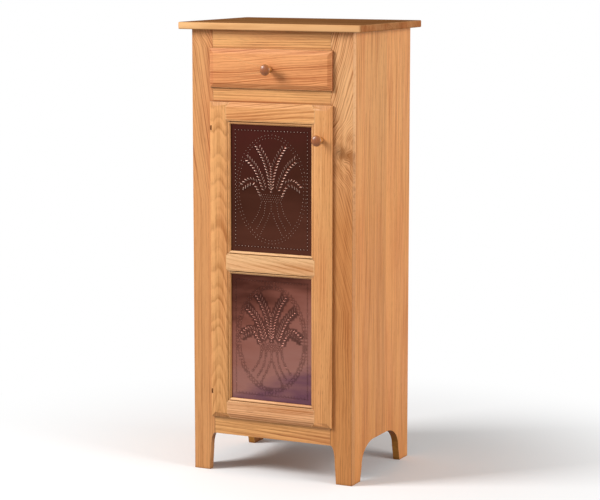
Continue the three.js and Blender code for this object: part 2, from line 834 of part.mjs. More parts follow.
// The punched ornament: a sheaf of six ears of wheat, tied at the waist, in an oval of short radial
// strokes and a border of dots. Its rows run from root to tip through points given as shares of half
// the panel's width and height, on the right half. The left half mirrors them. The lean is the turn
// of a stroke from its row, towards the row's left or right.
const earLean = THREE.MathUtils.degToRad(48);
const earRowShares = [
  { lean: -earLean, points: [[0.058, 0.03], [0.09, 0.175], [0.145, 0.315], [0.24, 0.484], [0.394, 0.662]] },
  { lean: earLean, points: [[0.03, 0.41], [0.128, 0.542], [0.265, 0.688]] },
  { lean: -earLean, points: [[0.232, 0], [0.323, 0.152], [0.443, 0.303], [0.63, 0.432]] },
  { lean: earLean, points: [[0.124, 0.047], [0.215, 0.216], [0.365, 0.391], [0.576, 0.525]] },
  { lean: earLean, points: [[0.373, 0.146], [0.48, 0.172], [0.62, 0.149], [0.763, 0.064]] },
  { lean: -earLean, points: [[0.3, -0.093], [0.356, -0.017], [0.448, 0.058], [0.56, 0.03], [0.7, -0.03]] },
];
const stemShares = [
  [[0.249, -0.216], [0.315, -0.373], [0.472, -0.534]],
  [[0.141, -0.216], [0.186, -0.411], [0.352, -0.624]],
  [[0.041, -0.379], [0.1, -0.49], [0.257, -0.703]],
];
const tieShares = [
  [[-0.257, -0.105], [0.257, -0.105]],
  [[-0.224, -0.158], [0.224, -0.158]],
];
const middleStemShares = [[0, -0.2], [0, -0.34]];
const middleEarShares = [[0, 0.06], [0, 0.36]];

// Evenly spaced places along a smooth row, each with the row's own direction there
function rowPlaces(shares, [halfWidth, halfHeight], pitch) {
  const curve = new THREE.SplineCurve(
    shares.map(([across, up]) => new THREE.Vector2(across * halfWidth, up * halfHeight)),
  );
  const count = Math.max(1, Math.round(curve.getLength() / pitch));
  return Array.from({ length: count + 1 }, (unused, i) => {
    const tangent = curve.getTangentAt(i / count);
    return { place: curve.getPointAt(i / count), angle: Math.atan2(tangent.y, tangent.x) };
  });
}

// A punch is a low pyramid pushed out of the front, long for a stroke and square for a dot
function punch({ place, angle }, length) {
  const rise = punchHeight + copperThickness / 2;
  const pyramid = new THREE.ConeGeometry(1, 1, 4);
  pyramid.scale(length / 2, rise, punchWidth / 2);
  pyramid.rotateX(Math.PI).translate(0, copperThickness / 2 - rise / 2, 0);
  return pyramid.rotateY(-angle).translate(place.x, 0, place.y);
}

function ornament([halfWidth, halfHeight]) {
  const half = [halfWidth, halfHeight];
  const mirrored = ({ place, angle }) => [
    { place, angle },
    { place: new THREE.Vector2(-place.x, place.y), angle: Math.PI - angle },
  ];
  const strokes = earRowShares.flatMap(({ lean, points }) =>
    rowPlaces(points, half, strokePitch).map(({ place, angle }) => ({ place, angle: angle + lean })),
  );
  const middleStrokes = rowPlaces(middleEarShares, half, strokePitch);
  const stems = stemShares.flatMap((points) => rowPlaces(points, half, stemPitch));
  const middleRows = [...tieShares, middleStemShares];
  const middleDots = middleRows.flatMap((points) => rowPlaces(points, half, stemPitch));
  const ovalHalf = [halfWidth - ovalSideInset, halfHeight - ovalEndInset];
  const oval = new THREE.EllipseCurve(0, 0, ...ovalHalf);
  const ovalCount = Math.round(oval.getLength() / strokePitch);
  const radial = Array.from({ length: ovalCount }, (unused, i) => {
    const tangent = oval.getTangentAt(i / ovalCount);
    return { place: oval.getPointAt(i / ovalCount), angle: Math.atan2(-tangent.x, tangent.y) };
  });
  const borderHalf = [halfWidth - borderSideInset, halfHeight - borderEndInset];
  const borderSides = [0, 1, 2, 3].flatMap((quarter) => {
    const turned = quarter % 2 === 1;
    const [along, across] = turned ? [borderHalf[1], borderHalf[0]] : borderHalf;
    const direction = quarter < 2 ? 1 : -1;
    const count = Math.round((2 * along) / borderPitch);
    return Array.from({ length: count }, (unused, i) => {
      const way = direction * along * (1 - (2 * i) / count);
      const place = turned
        ? new THREE.Vector2(-direction * across, way)
        : new THREE.Vector2(way, direction * across);
      return { place, angle: 0 };
    });
  });
  return [
    ...strokes.flatMap(mirrored).map((spot) => punch(spot, strokeLength)),
    ...[...middleStrokes, ...radial].map((spot) => punch(spot, strokeLength)),
    ...stems.flatMap(mirrored).map((spot) => punch(spot, punchWidth)),
    ...[...middleDots, ...borderSides].map((spot) => punch(spot, punchWidth)),
  ];
}

for (const [name, [low, high]] of Object.entries(openings)) {
  const half = sightHalf + panelLap;
  const front = flangeBack + seatGap;
  const middle = (low + high) / 2;
  const halfHeight = (high - low) / 2;
  const reach = halfHeight + panelLap;
  const sheet = block([-half, half], [0, copperThickness], [-reach, reach]);
  const punched = join(sheet, ...ornament([sightHalf, halfHeight]));
  piece(`copper_panel_${name}`, punched.translate(0, front, middle), copper, door);
  retainers(name, [low, high]);
}

// Hinges: each has a knuckle on the frame's leaf above one on the door's leaf. The leaves wrap into
// the gap beside the door, and a pin with a domed head at each end holds the knuckles together.
function knuckle(span) {
  return bar(knuckleRadius, "z", [hingeX, hingeY], span);
}

function knuckleBore(span) {
  return bar(hingePinRadius + fitGap, "z", [hingeX, hingeY], span, 12);
}

function frameLeaf(height) {
  const low = height + seatGap;
  const span = [low, low + knuckleHeight];
  const strapBack = -seatGap;
  const strapFront = strapBack - leafThickness;
  const edge = -openingHalf + seatGap;
  const neckX = [hingeX - knuckleRadius, hingeX - knuckleRadius + leafThickness];
  const neck = block(neckX, [hingeY, strapBack], span);
  const strap = block([neckX[0], edge + leafThickness], [strapFront, strapBack], span);
  const turn = block([edge, edge + leafThickness], [strapFront, boardThickness / 2], span);
  const plate = block(
    [edge, edge + leafThickness],
    [leafThickness, frameLeafDepth],
    [height - leafHeight / 2, height + leafHeight / 2],
  );
  const bore = knuckleBore([low - overrun, span[1] + overrun]);
  return cut(join(knuckle(span), neck, strap, turn, plate), bore);
}

function doorLeaf(height) {
  const high = height - seatGap;
  const span = [high - knuckleHeight, high];
  const strapBack = hingeY + knuckleRadius;
  const strapFront = strapBack - leafThickness;
  const edge = bodyEdge - seatGap;
  const edgeX = [edge - leafThickness, edge];
  const back = doorBack + seatGap;
  const heights = [height - leafHeight / 2, height + leafHeight / 2];
  const strap = block([hingeX, edge], [strapFront, strapBack], span);
  const turn = block(edgeX, [strapFront, doorBack], span);
  const wrap = block(edgeX, [leafThickness, back + leafThickness], heights);
  const plate = block([edgeX[0], edge + doorLeafWidth], [back, back + leafThickness], heights);
  const bore = knuckleBore([span[0] - overrun, high + overrun]);
  return cut(join(knuckle(span), strap, turn, wrap, plate), bore);
}

function hingePin(height) {
  const reach = knuckleHeight + 2 * seatGap;
  const dome = (end) =>
    quarterEllipse([0, end * reach], [-hingePinHeadRadius, end * hingePinHeadHeight], 4);
  const profile = [
    ...dome(-1).reverse(),
    [hingePinRadius, -reach],
    [hingePinRadius, reach],
    ...dome(1),
  ].map(([radius, z]) => new THREE.Vector2(radius, z));
  const turned = new THREE.LatheGeometry(profile, 12);
  return turned.rotateX(Math.PI / 2).translate(hingeX, hingeY, height);
}

for (const [name, height] of Object.entries(hingeHeights)) {
  const level = door.position.z + height;
  piece(`hinge_${name}_frame_leaf`, frameLeaf(level), brass);
  piece(`hinge_${name}_pin`, hingePin(level), brass);
  piece(`hinge_${name}_door_leaf`, doorLeaf(height), brass, door);
}

// Catch: a magnet case hung behind the middle rail, and the plate that it holds on the door
const catchX = [openingHalf - catchInset - catchWidth, openingHalf - catchInset];
const catchHigh = doorOpeningHigh - fitGap;
const catchFront = doorBack + seatGap + strikeThickness + fitGap;
const catchBack = catchFront + catchDepth;
const flangeFace = boardThickness + seatGap;
piece(
  "catch_case",
  prism(
    [
      [catchFront, catchHigh - catchHeight],
      [catchBack, catchHigh - catchHeight],
      [catchBack, catchHigh],
      [flangeFace + catchFlangeThickness, catchHigh],
      [flangeFace + catchFlangeThickness, catchHigh + catchFlangeHeight],
      [flangeFace, catchHigh + catchFlangeHeight],
      [flangeFace, catchHigh],
      [catchFront, catchHigh],
    ],
    "x",
    catchX,
  ),
  catchBrown,
);
const strikeMiddle = (catchX[0] + catchX[1]) / 2;
const strikeHigh = doorHeight - lipOverlap - slideGap - fitGap;
piece(
  "catch_strike",
  block(
    [strikeMiddle - strikeWidth / 2, strikeMiddle + strikeWidth / 2],
    [doorBack + seatGap, doorBack + seatGap + strikeThickness],
    [strikeHigh - strikeHeight, strikeHigh],
  ),
  steel,
  door,
);

export default cabinet;
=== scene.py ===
"""The looks of an oak pie safe with two punched copper panels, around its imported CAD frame."""

import json
import math

import bmesh
import bpy
import numpy as np
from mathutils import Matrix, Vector, geometry

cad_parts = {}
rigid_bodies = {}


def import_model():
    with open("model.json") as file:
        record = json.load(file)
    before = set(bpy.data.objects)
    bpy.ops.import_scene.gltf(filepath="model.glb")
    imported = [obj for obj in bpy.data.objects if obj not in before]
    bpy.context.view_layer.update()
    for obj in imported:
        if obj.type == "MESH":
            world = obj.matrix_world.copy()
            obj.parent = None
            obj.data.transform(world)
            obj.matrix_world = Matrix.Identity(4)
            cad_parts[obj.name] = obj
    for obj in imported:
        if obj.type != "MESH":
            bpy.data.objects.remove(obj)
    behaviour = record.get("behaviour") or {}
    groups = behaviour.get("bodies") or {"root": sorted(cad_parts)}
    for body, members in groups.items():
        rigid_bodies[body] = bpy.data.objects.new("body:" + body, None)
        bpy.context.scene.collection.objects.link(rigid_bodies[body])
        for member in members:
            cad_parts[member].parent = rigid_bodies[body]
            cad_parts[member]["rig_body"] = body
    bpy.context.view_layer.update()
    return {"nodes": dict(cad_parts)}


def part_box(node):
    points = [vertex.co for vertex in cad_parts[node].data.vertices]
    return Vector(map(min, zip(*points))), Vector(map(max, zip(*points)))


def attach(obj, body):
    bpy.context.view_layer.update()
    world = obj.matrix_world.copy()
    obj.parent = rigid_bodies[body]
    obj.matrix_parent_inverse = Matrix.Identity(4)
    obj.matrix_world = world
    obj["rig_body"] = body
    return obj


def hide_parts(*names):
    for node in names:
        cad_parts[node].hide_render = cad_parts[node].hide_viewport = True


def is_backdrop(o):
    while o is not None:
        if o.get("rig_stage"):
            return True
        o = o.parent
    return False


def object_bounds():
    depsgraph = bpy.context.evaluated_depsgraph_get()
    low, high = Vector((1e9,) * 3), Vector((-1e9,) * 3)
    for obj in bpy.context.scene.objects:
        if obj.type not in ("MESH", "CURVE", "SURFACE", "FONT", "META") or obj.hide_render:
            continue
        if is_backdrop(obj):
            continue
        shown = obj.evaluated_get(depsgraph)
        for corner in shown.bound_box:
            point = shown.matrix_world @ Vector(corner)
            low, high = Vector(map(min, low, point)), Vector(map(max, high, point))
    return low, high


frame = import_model()

MM = 0.001

# Side panels: planks of red oak, edge-glued with the grain upright, arched at the foot, sanded and
# sprayed with a satin lacquer. Every oak board of the case is finished in the same way.
oak_light = "#e3a25f"
oak_dark = "#a05e27"
oak_pore = "#7c4519"
oak_rosy = "#d98650"
# The next colour is for paler arrises: partly thin lacquer, partly painted highlight
oak_worn_and_highlit = "#f0bd82"
# The next colour is painted shade, mixed into downward faces and into corners and quirks
oak_painted_shade = "#6b380a"
ring_width = 6 * MM  # a fast-grown log, and each of its rings also shows finer lines
ring_wander = 14 * MM
wander_across = 90 * MM
wander_along = 420 * MM
ripple = 1.1 * MM
ripple_across = 13 * MM
ripple_along = 70 * MM
fibre_width = 2.4 * MM  # the real fibres are finer than a pixel, so they are drawn this coarse
fibre_length = 150 * MM
pore_width = 1.1 * MM  # real pores are 0.3 mm wide
pore_length = 22 * MM
flake = 0.1  # fibres and pores lie in flakes ten times as deep as they are wide
tone_across = 60 * MM
tone_along = 380 * MM
stripe_width = 16 * MM
stripe_length = 320 * MM
curl_reach = (0.01, 0.09)
swirl_size = 60 * MM
swirl_width = 34 * MM
swirl_length = 42 * MM
knot_width = 20 * MM
knot_length = 32 * MM
plank_shift = (0.22, 0.05, 3.0)  # how far apart in the log two planks of a board can lie, in metres
year_spread = 2.4  # slow noise moves the rings by as many, so that some years are wide
fine_lines = 2.7  # in each ring
pore_depth = 0.25 * MM
arris_probe = 2 * MM
corner_reach = 12 * MM
arris_radius = 0.9 * MM
same_place = 0.02 * MM
merge_gap = 0.004 * MM
flat_angle = 0.5  # degrees
sharp_angle = 28
side_plank_edges = [-150, -92, -14, 52, 131, 215]  # glue lines, from front to back


def linear(hex_colour):
    """The colour as linear red, green, blue and alpha, by the sRGB curve."""
    channels = np.array([int(hex_colour[i : i + 2], 16) for i in (1, 3, 5)]) / 255
    curved = np.where(channels <= 0.04045, channels / 12.92, ((channels + 0.055) / 1.055) ** 2.4)
    return (*(float(c) for c in curved), 1.0)


def add(material, kind, sockets=None, **settings):
    """Adds a shader node with its settings, and gives each socket its value or its link. A node
    that is given as a value is linked by its first output."""
    tree = material.node_tree
    node = tree.nodes.new("ShaderNode" + kind)
    for setting, value in settings.items():
        setattr(node, setting, value)
    for socket, value in (sockets or {}).items():
        if isinstance(value, bpy.types.Node):
            value = value.outputs[0]
        if isinstance(value, bpy.types.NodeSocket):
            tree.links.new(value, node.inputs[socket])
        else:
            node.inputs[socket].default_value = value
    return node


def set_stops(ramp, stops):
    """Gives a colour ramp its stops, each a place from 0 to 1 and a colour."""
    elements = ramp.color_ramp.elements
    while len(elements) < len(stops):
        elements.new(0.5)
    for element, (place, colour) in zip(elements, stops):
        element.position = place
        element.color = colour


def grey(value):
    """A grey as a linear colour."""
    return (value, value, value, 1.0)


def start_material(name):
    """A material with an empty node tree."""
    material = bpy.data.materials.new(name)
    material.use_nodes = True
    material.node_tree.nodes.clear()
    return material


def oak(
    name,
    order,
    heart,
    lean=(0.0, 0.0),
    ring=ring_width,
    wander=ring_wander,
    wander_length=wander_along,
    light=oak_light,
    dark=oak_dark,
    contrast=1.0,
    plank_edges=None,
    seed=1,
    roughness=0.42,
    wear_and_highlight=0.35,
    gloss=0.35,
    upper_face_painted_shade=None,
    crook=None,
    foot_tone=None,
    thirst=0.95,
    streaks=0.14,
    narrow_face_painted_tint="#ffffff",
):
    """Red oak sawn from a log. Order gives the row axes that run across the board's face, through
    its thickness and along its grain. A point's distance from the log's heart, bent by slow noise,
    is counted in ring widths. Each ring starts with a porous dark band and ends pale and dense.
    A crook is a reach along the grain from the heart's own height, and how far the heart moves
    sideways over it, with the grain curling where the two arms meet. Foot tone is what the lower
    half is multiplied by, and thirst the slope across the grain that takes the finish darkest.
    Streaks are how much slow stripes along the grain lighten and darken the board. Its two narrow long
    faces are multiplied by a painted shade tint, and its upper face by a painted shade. Its arrises are
    painted paler by a given share, partly as lacquer rubbing thin and partly as painted highlight, and
    gloss is how much its lacquer reflects."""
    material = start_material(name)
    place = add(material, "TexCoord")
    row_axes = add(material, "SeparateXYZ", {0: place.outputs["Object"]})
    facing = add(material, "SeparateXYZ", {0: place.outputs["Normal"]})
    axes = ["xyz".index(axis) for axis in order]
    across, along = axes[0], axes[2]
    sawn = add(material, "CombineXYZ", {i: row_axes.outputs[axis] for i, axis in enumerate(axes)})
    log = add(material, "VectorMath", {0: sawn, 1: heart}, operation="SUBTRACT")
    if plank_edges:
        random = np.random.default_rng(seed)
        first, last = plank_edges[0] * MM, plank_edges[-1] * MM
        share = {"Value": row_axes.outputs[across], "From Min": first, "From Max": last}
        share = add(material, "MapRange", share)
        planks = add(material, "ValToRGB", {0: share})
        planks.color_ramp.interpolation = "CONSTANT"
        places = [(edge * MM - first) / (last - first) for edge in plank_edges[:-1]]
        set_stops(planks, [(place_over, (*random.random(3), 1.0)) for place_over in places])
        log = add(material, "VectorMath", {0: planks, 1: plank_shift, 2: log}, operation="MULTIPLY_ADD")

    # Clouds of noise along the log: how wide, how long and how detailed each one is
    cloud_sizes = {
        "wander": (wander_across, wander_length, 1.5),
        "ripple": (ripple_across, ripple_along, 1.5),
        "clear": (tone_across, tone_along, 0.0),
        "tone": (tone_across, tone_along, 1.0),
        "stripes": (stripe_width, stripe_length, 1.0),
    }
    if crook:
        cloud_sizes["swirl"] = (swirl_width, swirl_length, 1.0)
        cloud_sizes["knot"] = (knot_width, knot_length, 1.0)
    clouds = {}
    for use, (width, length, detail) in cloud_sizes.items():
        stretch = (1 / width, 1 / width, 1 / length)
        stretched = add(material, "VectorMath", {0: log, 1: stretch}, operation="MULTIPLY")
        clouds[use] = add(material, "TexNoise", {0: stretched, "Scale": 1.0, "Detail": detail})

    # The log's heart wanders, ripples, leans and crooks on its way up
    bent = log
    for use, amount in (("wander", wander), ("ripple", ripple)):
        push = {0: clouds[use].outputs["Color"], 1: (amount, amount, 0.0), 2: bent}
        bent = add(material, "VectorMath", push, operation="MULTIPLY_ADD")
    height = add(material, "SeparateXYZ", {0: log}).outputs["Z"]
    drift = add(material, "VectorMath", {0: (*lean, 0.0), "Scale": height}, operation="SCALE")
    if crook:
        reach, sideways = crook
        away = add(material, "Math", {0: height}, operation="ABSOLUTE")
        fading = {"Value": away, "From Min": curl_reach[0], "From Max": curl_reach[1]}
        curl = add(material, "MapRange", {**fading, "To Min": 1.0, "To Max": 0.0})
        swirl_here = add(material, "Math", {0: curl, 1: swirl_size}, operation="MULTIPLY")
        turn = {0: clouds["swirl"].outputs["Color"], "Scale": swirl_here}
        swirl = add(material, "VectorMath", turn, operation="SCALE")
        bent = add(material, "VectorMath", {0: bent, 1: swirl}, operation="ADD")
        aside = add(material, "MapRange", {"Value": away, "From Max": reach, "To Max": sideways})
        turned = add(material, "CombineXYZ", {"X": aside})
        drift = add(material, "VectorMath", {0: drift, 1: turned}, operation="ADD")
    from_heart = add(material, "VectorMath", {0: bent, 1: drift}, operation="SUBTRACT")
    for use, width, length, detail in (
        ("fibres", fibre_width, fibre_length, 2.0),
        ("pores", pore_width, pore_length, 1.0),
    ):
        stretch = (1 / width, flake / width, 1 / length)
        stretched = add(material, "VectorMath", {0: from_heart, 1: stretch}, operation="MULTIPLY")
        clouds[use] = add(material, "TexNoise", {0: stretched, "Scale": 1.0, "Detail": detail})

    # Rings: slow noise over their count makes some years wide and some narrow
    flat = add(material, "VectorMath", {0: from_heart, 1: (1.0, 1.0, 0.0)}, operation="MULTIPLY")
    radius = add(material, "VectorMath", {0: flat}, operation="LENGTH").outputs["Value"]
    rings = add(material, "Math", {0: radius, 1: ring}, operation="DIVIDE")
    years = add(material, "TexNoise", {"W": rings, "Scale": 0.3, "Detail": 2.0}, noise_dimensions="1D")
    rings = add(material, "Math", {0: years, 1: year_spread, 2: rings}, operation="MULTIPLY_ADD")
    through_ring = add(material, "Math", {0: rings}, operation="FRACT")
    band = add(material, "ValToRGB", {0: through_ring})
    ring_stops = [(0.0, 0.3), (0.1, 1.0), (0.34, 0.62), (0.6, 0.2), (0.9, 0.0), (1.0, 0.3)]
    set_stops(band, [(share_in, grey(value)) for share_in, value in ring_stops])
    ring_number = add(material, "Math", {0: rings}, operation="FLOOR")
    each_ring = add(material, "TexWhiteNoise", {"W": ring_number}, noise_dimensions="1D")
    strength = {"Value": each_ring.outputs["Value"], "To Min": 0.45, "To Max": 1.05}
    strength = add(material, "MapRange", strength)
    early = add(material, "Math", {0: band, 1: strength}, operation="MULTIPLY")
    early = add(material, "Math", {0: early, 1: 0.85}, operation="MULTIPLY")
    finer = add(material, "Math", {0: rings, 1: fine_lines}, operation="MULTIPLY")
    finer = add(material, "Math", {0: finer}, operation="FRACT")
    early = add(material, "Math", {0: finer, 1: 0.15, 2: early}, operation="MULTIPLY_ADD")
    middle_range = {"From Min": 0.35, "From Max": 0.65}
    clear = {"Value": clouds["clear"], **middle_range, "To Min": 0.6, "To Max": 1.2}
    clear = add(material, "MapRange", clear)
    early = add(material, "Math", {0: early, 1: clear}, operation="MULTIPLY")

    # The narrow faces of a plain-sawn board show straight quiet grain
    narrow_face = add(material, "Math", {0: facing.outputs[across]}, operation="ABSOLUTE")
    narrow_face = add(material, "MapRange", {"Value": narrow_face, "From Min": 0.5, "From Max": 0.9})
    quiet = add(material, "MapRange", {"Value": narrow_face, "To Min": 1.0, "To Max": 0.1})
    early = add(material, "Math", {0: early, 1: quiet}, operation="MULTIPLY")
    if foot_tone:
        low_down = {"Value": row_axes.outputs["Z"], "From Min": 1.0, "From Max": 0.7}
        low_down = add(material, "MapRange", low_down)
        calm = add(material, "MapRange", {"Value": low_down, "To Min": 1.0, "To Max": 0.5})
        early = add(material, "Math", {0: early, 1: calm}, operation="MULTIPLY")

    # Layers of colour over the light wood: the rings, fibres and stripes are the first
    fibres = {"Value": clouds["fibres"], **middle_range, "To Min": -0.24, "To Max": 0.24}
    fibres = add(material, "MapRange", fibres)
    stripes = {"Value": clouds["stripes"], **middle_range, "To Min": -streaks, "To Max": streaks}
    stripes = add(material, "MapRange", stripes)
    grain = add(material, "Math", {0: early, 1: contrast, 2: fibres}, operation="MULTIPLY_ADD")
    grain = add(material, "Math", {0: grain, 1: stripes}, operation="ADD")
    layers = [(grain, linear(dark), "MIX")]

    # Then the pores, a rosy tone in clouds, and the tones of the planks and of the foot
    pores = add(material, "MapRange", {"Value": clouds["pores"], "From Min": 0.56, "From Max": 0.68})
    in_rings = add(material, "MapRange", {"Value": early, "To Min": 0.2, "To Max": 1.0})
    pores = add(material, "Math", {0: pores, 1: in_rings}, operation="MULTIPLY")
    pores = add(material, "Math", {0: pores, 1: quiet}, operation="MULTIPLY")
    pore_share = add(material, "Math", {0: pores, 1: 0.65}, operation="MULTIPLY")
    layers.append((pore_share, linear(oak_pore), "MIX"))
    rosy = {"Value": clouds["tone"], "From Min": 0.4, "From Max": 0.7, "To Max": 0.36}
    layers.append((add(material, "MapRange", rosy), linear(oak_rosy), "MIX"))
    if plank_edges:
        plank_tone = {"Value": add(material, "RGBToBW", {0: planks}), "From Min": 0.2, "From Max": 0.8}
        plank_tone = add(material, "MapRange", {**plank_tone, "To Min": 0.87, "To Max": 1.08})
        layers.append((1.0, plank_tone, "MULTIPLY"))
    if foot_tone:
        layers.append((low_down, linear(foot_tone), "MULTIPLY"))

    # End grain drinks the finish and turns darker
    end_grain = add(material, "Math", {0: facing.outputs[along]}, operation="ABSOLUTE")
    end_grain = {"Value": end_grain, "From Min": 0.05, "From Max": thirst, "To Max": 0.7}
    layers.append((add(material, "MapRange", end_grain), linear(oak_dark), "MULTIPLY"))
    # Painted shade: the narrow long faces are multiplied by a tint that stands in for their shade
    layers.append((narrow_face, linear(narrow_face_painted_tint), "MULTIPLY"))

    # Painted shade: faces that look down are mixed toward a dark shade colour
    under = {"Value": facing.outputs["Z"], "From Min": -0.1, "From Max": -0.24, "To Max": 0.3}
    layers.append((add(material, "MapRange", under), linear(oak_painted_shade), "MIX"))
    if crook:
        # The curl is a small knot's own end grain, so it drinks more of the finish
        patch = add(material, "MapRange", {"Value": clouds["knot"], "From Min": 0.42, "From Max": 0.62})
        near_knot = add(material, "MapRange", {"Value": curl, "From Min": 0.3, "To Max": 0.6})
        patch = add(material, "Math", {0: patch, 1: near_knot}, operation="MULTIPLY")
        layers.append((patch, linear(dark), "MIX"))
    # Painted shade: the upper face is multiplied by a darker tint
    if upper_face_painted_shade:
        upward = {"Value": facing.outputs["Z"], "From Min": 0.6, "From Max": 0.98}
        layers.append((add(material, "MapRange", upward), linear(upper_face_painted_shade), "MULTIPLY"))

    # The arrises are painted a little paler: partly lacquer that handling rubs thin, partly a painted
    # highlight along the edges
    around = add(material, "Bevel", {"Radius": arris_probe}, samples=4)
    surface = add(material, "NewGeometry")
    both = {0: around, 1: surface.outputs["Normal"]}
    agreement = add(material, "VectorMath", both, operation="DOT_PRODUCT").outputs["Value"]
    arris = {"Value": agreement, "From Min": 0.9985, "From Max": 0.94, "To Max": wear_and_highlight}
    layers.append((add(material, "MapRange", arris), linear(oak_worn_and_highlit), "MIX"))

    # Painted shade: ambient occlusion darkens the quirks and corners, where shade falls
    open_air = add(material, "AmbientOcclusion", {"Distance": corner_reach}, samples=6).outputs["AO"]
    corner = {"Value": open_air, "From Min": 0.25, "From Max": 0.85, "To Min": 0.66, "To Max": 0.0}
    layers.append((add(material, "MapRange", corner), linear(oak_painted_shade), "MIX"))
    colour = linear(light)
    for share_of, tone, blend in layers:
        mixed = {"Fac": share_of, "Color1": colour, "Color2": tone}
        colour = add(material, "MixRGB", mixed, blend_type=blend)

    # The open pores and the soft early wood lie a little lower and shine less
    relief = add(material, "Math", {0: early, 1: 0.35, 2: pores}, operation="MULTIPLY_ADD")
    relief = add(material, "Math", {0: relief, 1: -1.0}, operation="MULTIPLY")
    bump = add(material, "Bump", {"Height": relief, "Strength": 0.35, "Distance": pore_depth})
    shine = {"Value": fibres, "From Min": -0.16, "From Max": 0.16, "To Min": -0.04, "To Max": 0.04}
    shine = add(material, "MapRange", shine)
    shine = add(material, "Math", {0: pores, 1: 0.2, 2: shine}, operation="MULTIPLY_ADD")
    shine = add(material, "Math", {0: shine, 1: roughness}, operation="ADD")
    finish = {"Base Color": colour, "Roughness": shine, "Specular IOR Level": gloss, "Normal": bump}
    add(material, "OutputMaterial", {"Surface": add(material, "BsdfPrincipled", finish)})
    return material


def into_scene(name, data):
    """A new object in the scene, with that name and data."""
    made = bpy.data.objects.new(name, data)
    bpy.context.scene.collection.objects.link(made)
    return made


def smooth(mesh, sharp):
    """Shades a mesh smooth, but for the edges that turn by more than that many degrees."""
    mesh.polygons.foreach_set("use_smooth", np.ones(len(mesh.polygons), bool))
    mesh.set_sharp_from_angle(angle=math.radians(sharp))


def eased(name, node, width=0.0, chosen=None, moved=None):
    """A merged copy of a CAD board. Chosen is a function of the two ends of every edge, as arrays,
    and gives true for the arrises to round to that width. Moved is a function that takes the array
    of points and gives their new places. Without them the board keeps its arrises and points."""
    mesh = frame["nodes"][node].data.copy()
    mesh.name = name
    shell = bmesh.new()
    shell.from_mesh(mesh)
    bmesh.ops.remove_doubles(shell, verts=shell.verts, dist=merge_gap)
    parts = {"verts": shell.verts[:], "edges": shell.edges[:]}
    bmesh.ops.dissolve_limit(shell, angle_limit=math.radians(flat_angle), **parts)
    shell.to_mesh(mesh)
    shell.free()
    places = np.empty(len(mesh.vertices) * 3, np.float32)
    mesh.vertices.foreach_get("co", places)
    places = places.reshape(-1, 3)
    if moved:
        places = moved(places)
        mesh.vertices.foreach_set("co", places.ravel())
    smooth(mesh, sharp_angle)
    mesh.materials.clear()
    piece = into_scene(name, mesh)
    if chosen:
        ends = np.empty(len(mesh.edges) * 2, np.int32)
        mesh.edges.foreach_get("vertices", ends)
        rounded = chosen(places[ends[0::2]], places[ends[1::2]])
        weights = mesh.attributes.new("bevel_weight_edge", "FLOAT", "EDGE")
        weights.data.foreach_set("value", rounded.astype(np.float32))
        rounding = piece.modifiers.new("rounded arrises", "BEVEL")
        rounding.width = width
        rounding.segments = 3
        rounding.limit_method = "WEIGHT"
        rounding.use_clamp_overlap = False
        rounding.harden_normals = True
    return piece


def on_plane(axis, level):
    """A choice of the edges whose two ends lie at that level of an axis."""

    def at_level(a, b):
        return np.maximum(abs(a[:, axis] - level), abs(b[:, axis] - level)) < same_place

    return at_level


def front_arrises(node):
    """A choice of the edges in the node's front plane."""
    return on_plane(1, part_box(node)[0].y)


def outer_arrises(outer, front):
    """A choice of a side's outer edges, but for the front one, which is sanded flush with the stile."""

    def at_face(a, b):
        return on_plane(0, outer)(a, b) & ~on_plane(1, front)(a, b)

    return at_face


def dress(piece, node, material):
    """The piece stands for the CAD node, rides on its body and takes that finish."""
    piece.data.materials.append(material)
    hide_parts(node)
    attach(piece, frame["nodes"][node]["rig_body"])


def finish_node(node, material):
    """Gives a CAD node that stays in view its finish."""
    frame["nodes"][node].data.materials.clear()
    frame["nodes"][node].data.materials.append(material)


side_hearts = {"left": (0.02, 0.13, 0.3), "right": (-0.42, 0.1, 0.4)}
for seed, (side, heart) in enumerate(side_hearts.items(), 3):
    node = f"side_panel_{side}"
    low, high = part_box(node)
    outer = high.x if side == "right" else low.x
    panel = eased(f"side_planks_{side}", node, arris_radius, outer_arrises(outer, low.y))
    planks = oak(
        f"lacquered oak planks {side}",
        "yxz",
        heart,
        lean=(0.03, 0.05),
        ring=13 * MM,
        wander=26 * MM,
        wander_length=300 * MM,
        light="#eba868",
        dark="#b26b32",
        foot_tone="#f8ecdb",
        contrast=0.8,
        streaks=0.24,
        # a pale olive tint of painted shade on the narrow faces, such as those inside the arch
        narrow_face_painted_tint="#f4ffd8",
        plank_edges=side_plank_edges,
        gloss=0.15,
        seed=seed,
    )
    dress(panel, node, planks)

# Face frame: two stiles that run down into curved feet, and three rails tenoned between them.
# Plain-sawn red oak, sanded flush at the joints.
stile_figures = {
    "left": {
        "heart": (-0.42, -0.1, 1.25),
        "crook": (0.5, 0.08),
        "ring": 8 * MM,
        "contrast": 1.3,
        "light": "#df9e63",
        "dark": "#a5622b",
        "foot_tone": "#fbf8f4",
    },
    "right": {
        "heart": (0.29, -0.12, 0.89),
        "crook": (0.42, 0.13),
        "ring": 6.5 * MM,
        "wander": 16 * MM,
        "wander_length": 160 * MM,
        "contrast": 1.15,
        "light": "#f2b880",
        "dark": "#9c581f",
        "foot_tone": "#dfc7a9",
        "gloss": 0.2,
    },
}
for side, figure in stile_figures.items():
    node = f"face_stile_{side}"
    stile = eased(f"oak_stile_{side}", node, arris_radius, front_arrises(node))
    dress(stile, node, oak(f"lacquered oak stile {side}", "xyz", **figure))

rail_hearts = {"bottom": (0.10, -0.12, 0.1), "middle": (1.13, -0.13, 0.2), "top": (1.25, -0.12, -0.3)}
rail_figure = {"lean": (0.0, 0.02), "wander": 8 * MM, "light": "#edae6c"}
for place, heart in rail_hearts.items():
    node = f"face_rail_{place}"
    rail = eased(f"oak_rail_{place}", node, 0.5 * MM, front_arrises(node))
    dress(rail, node, oak(f"lacquered oak rail {place}", "zyx", heart, **rail_figure))

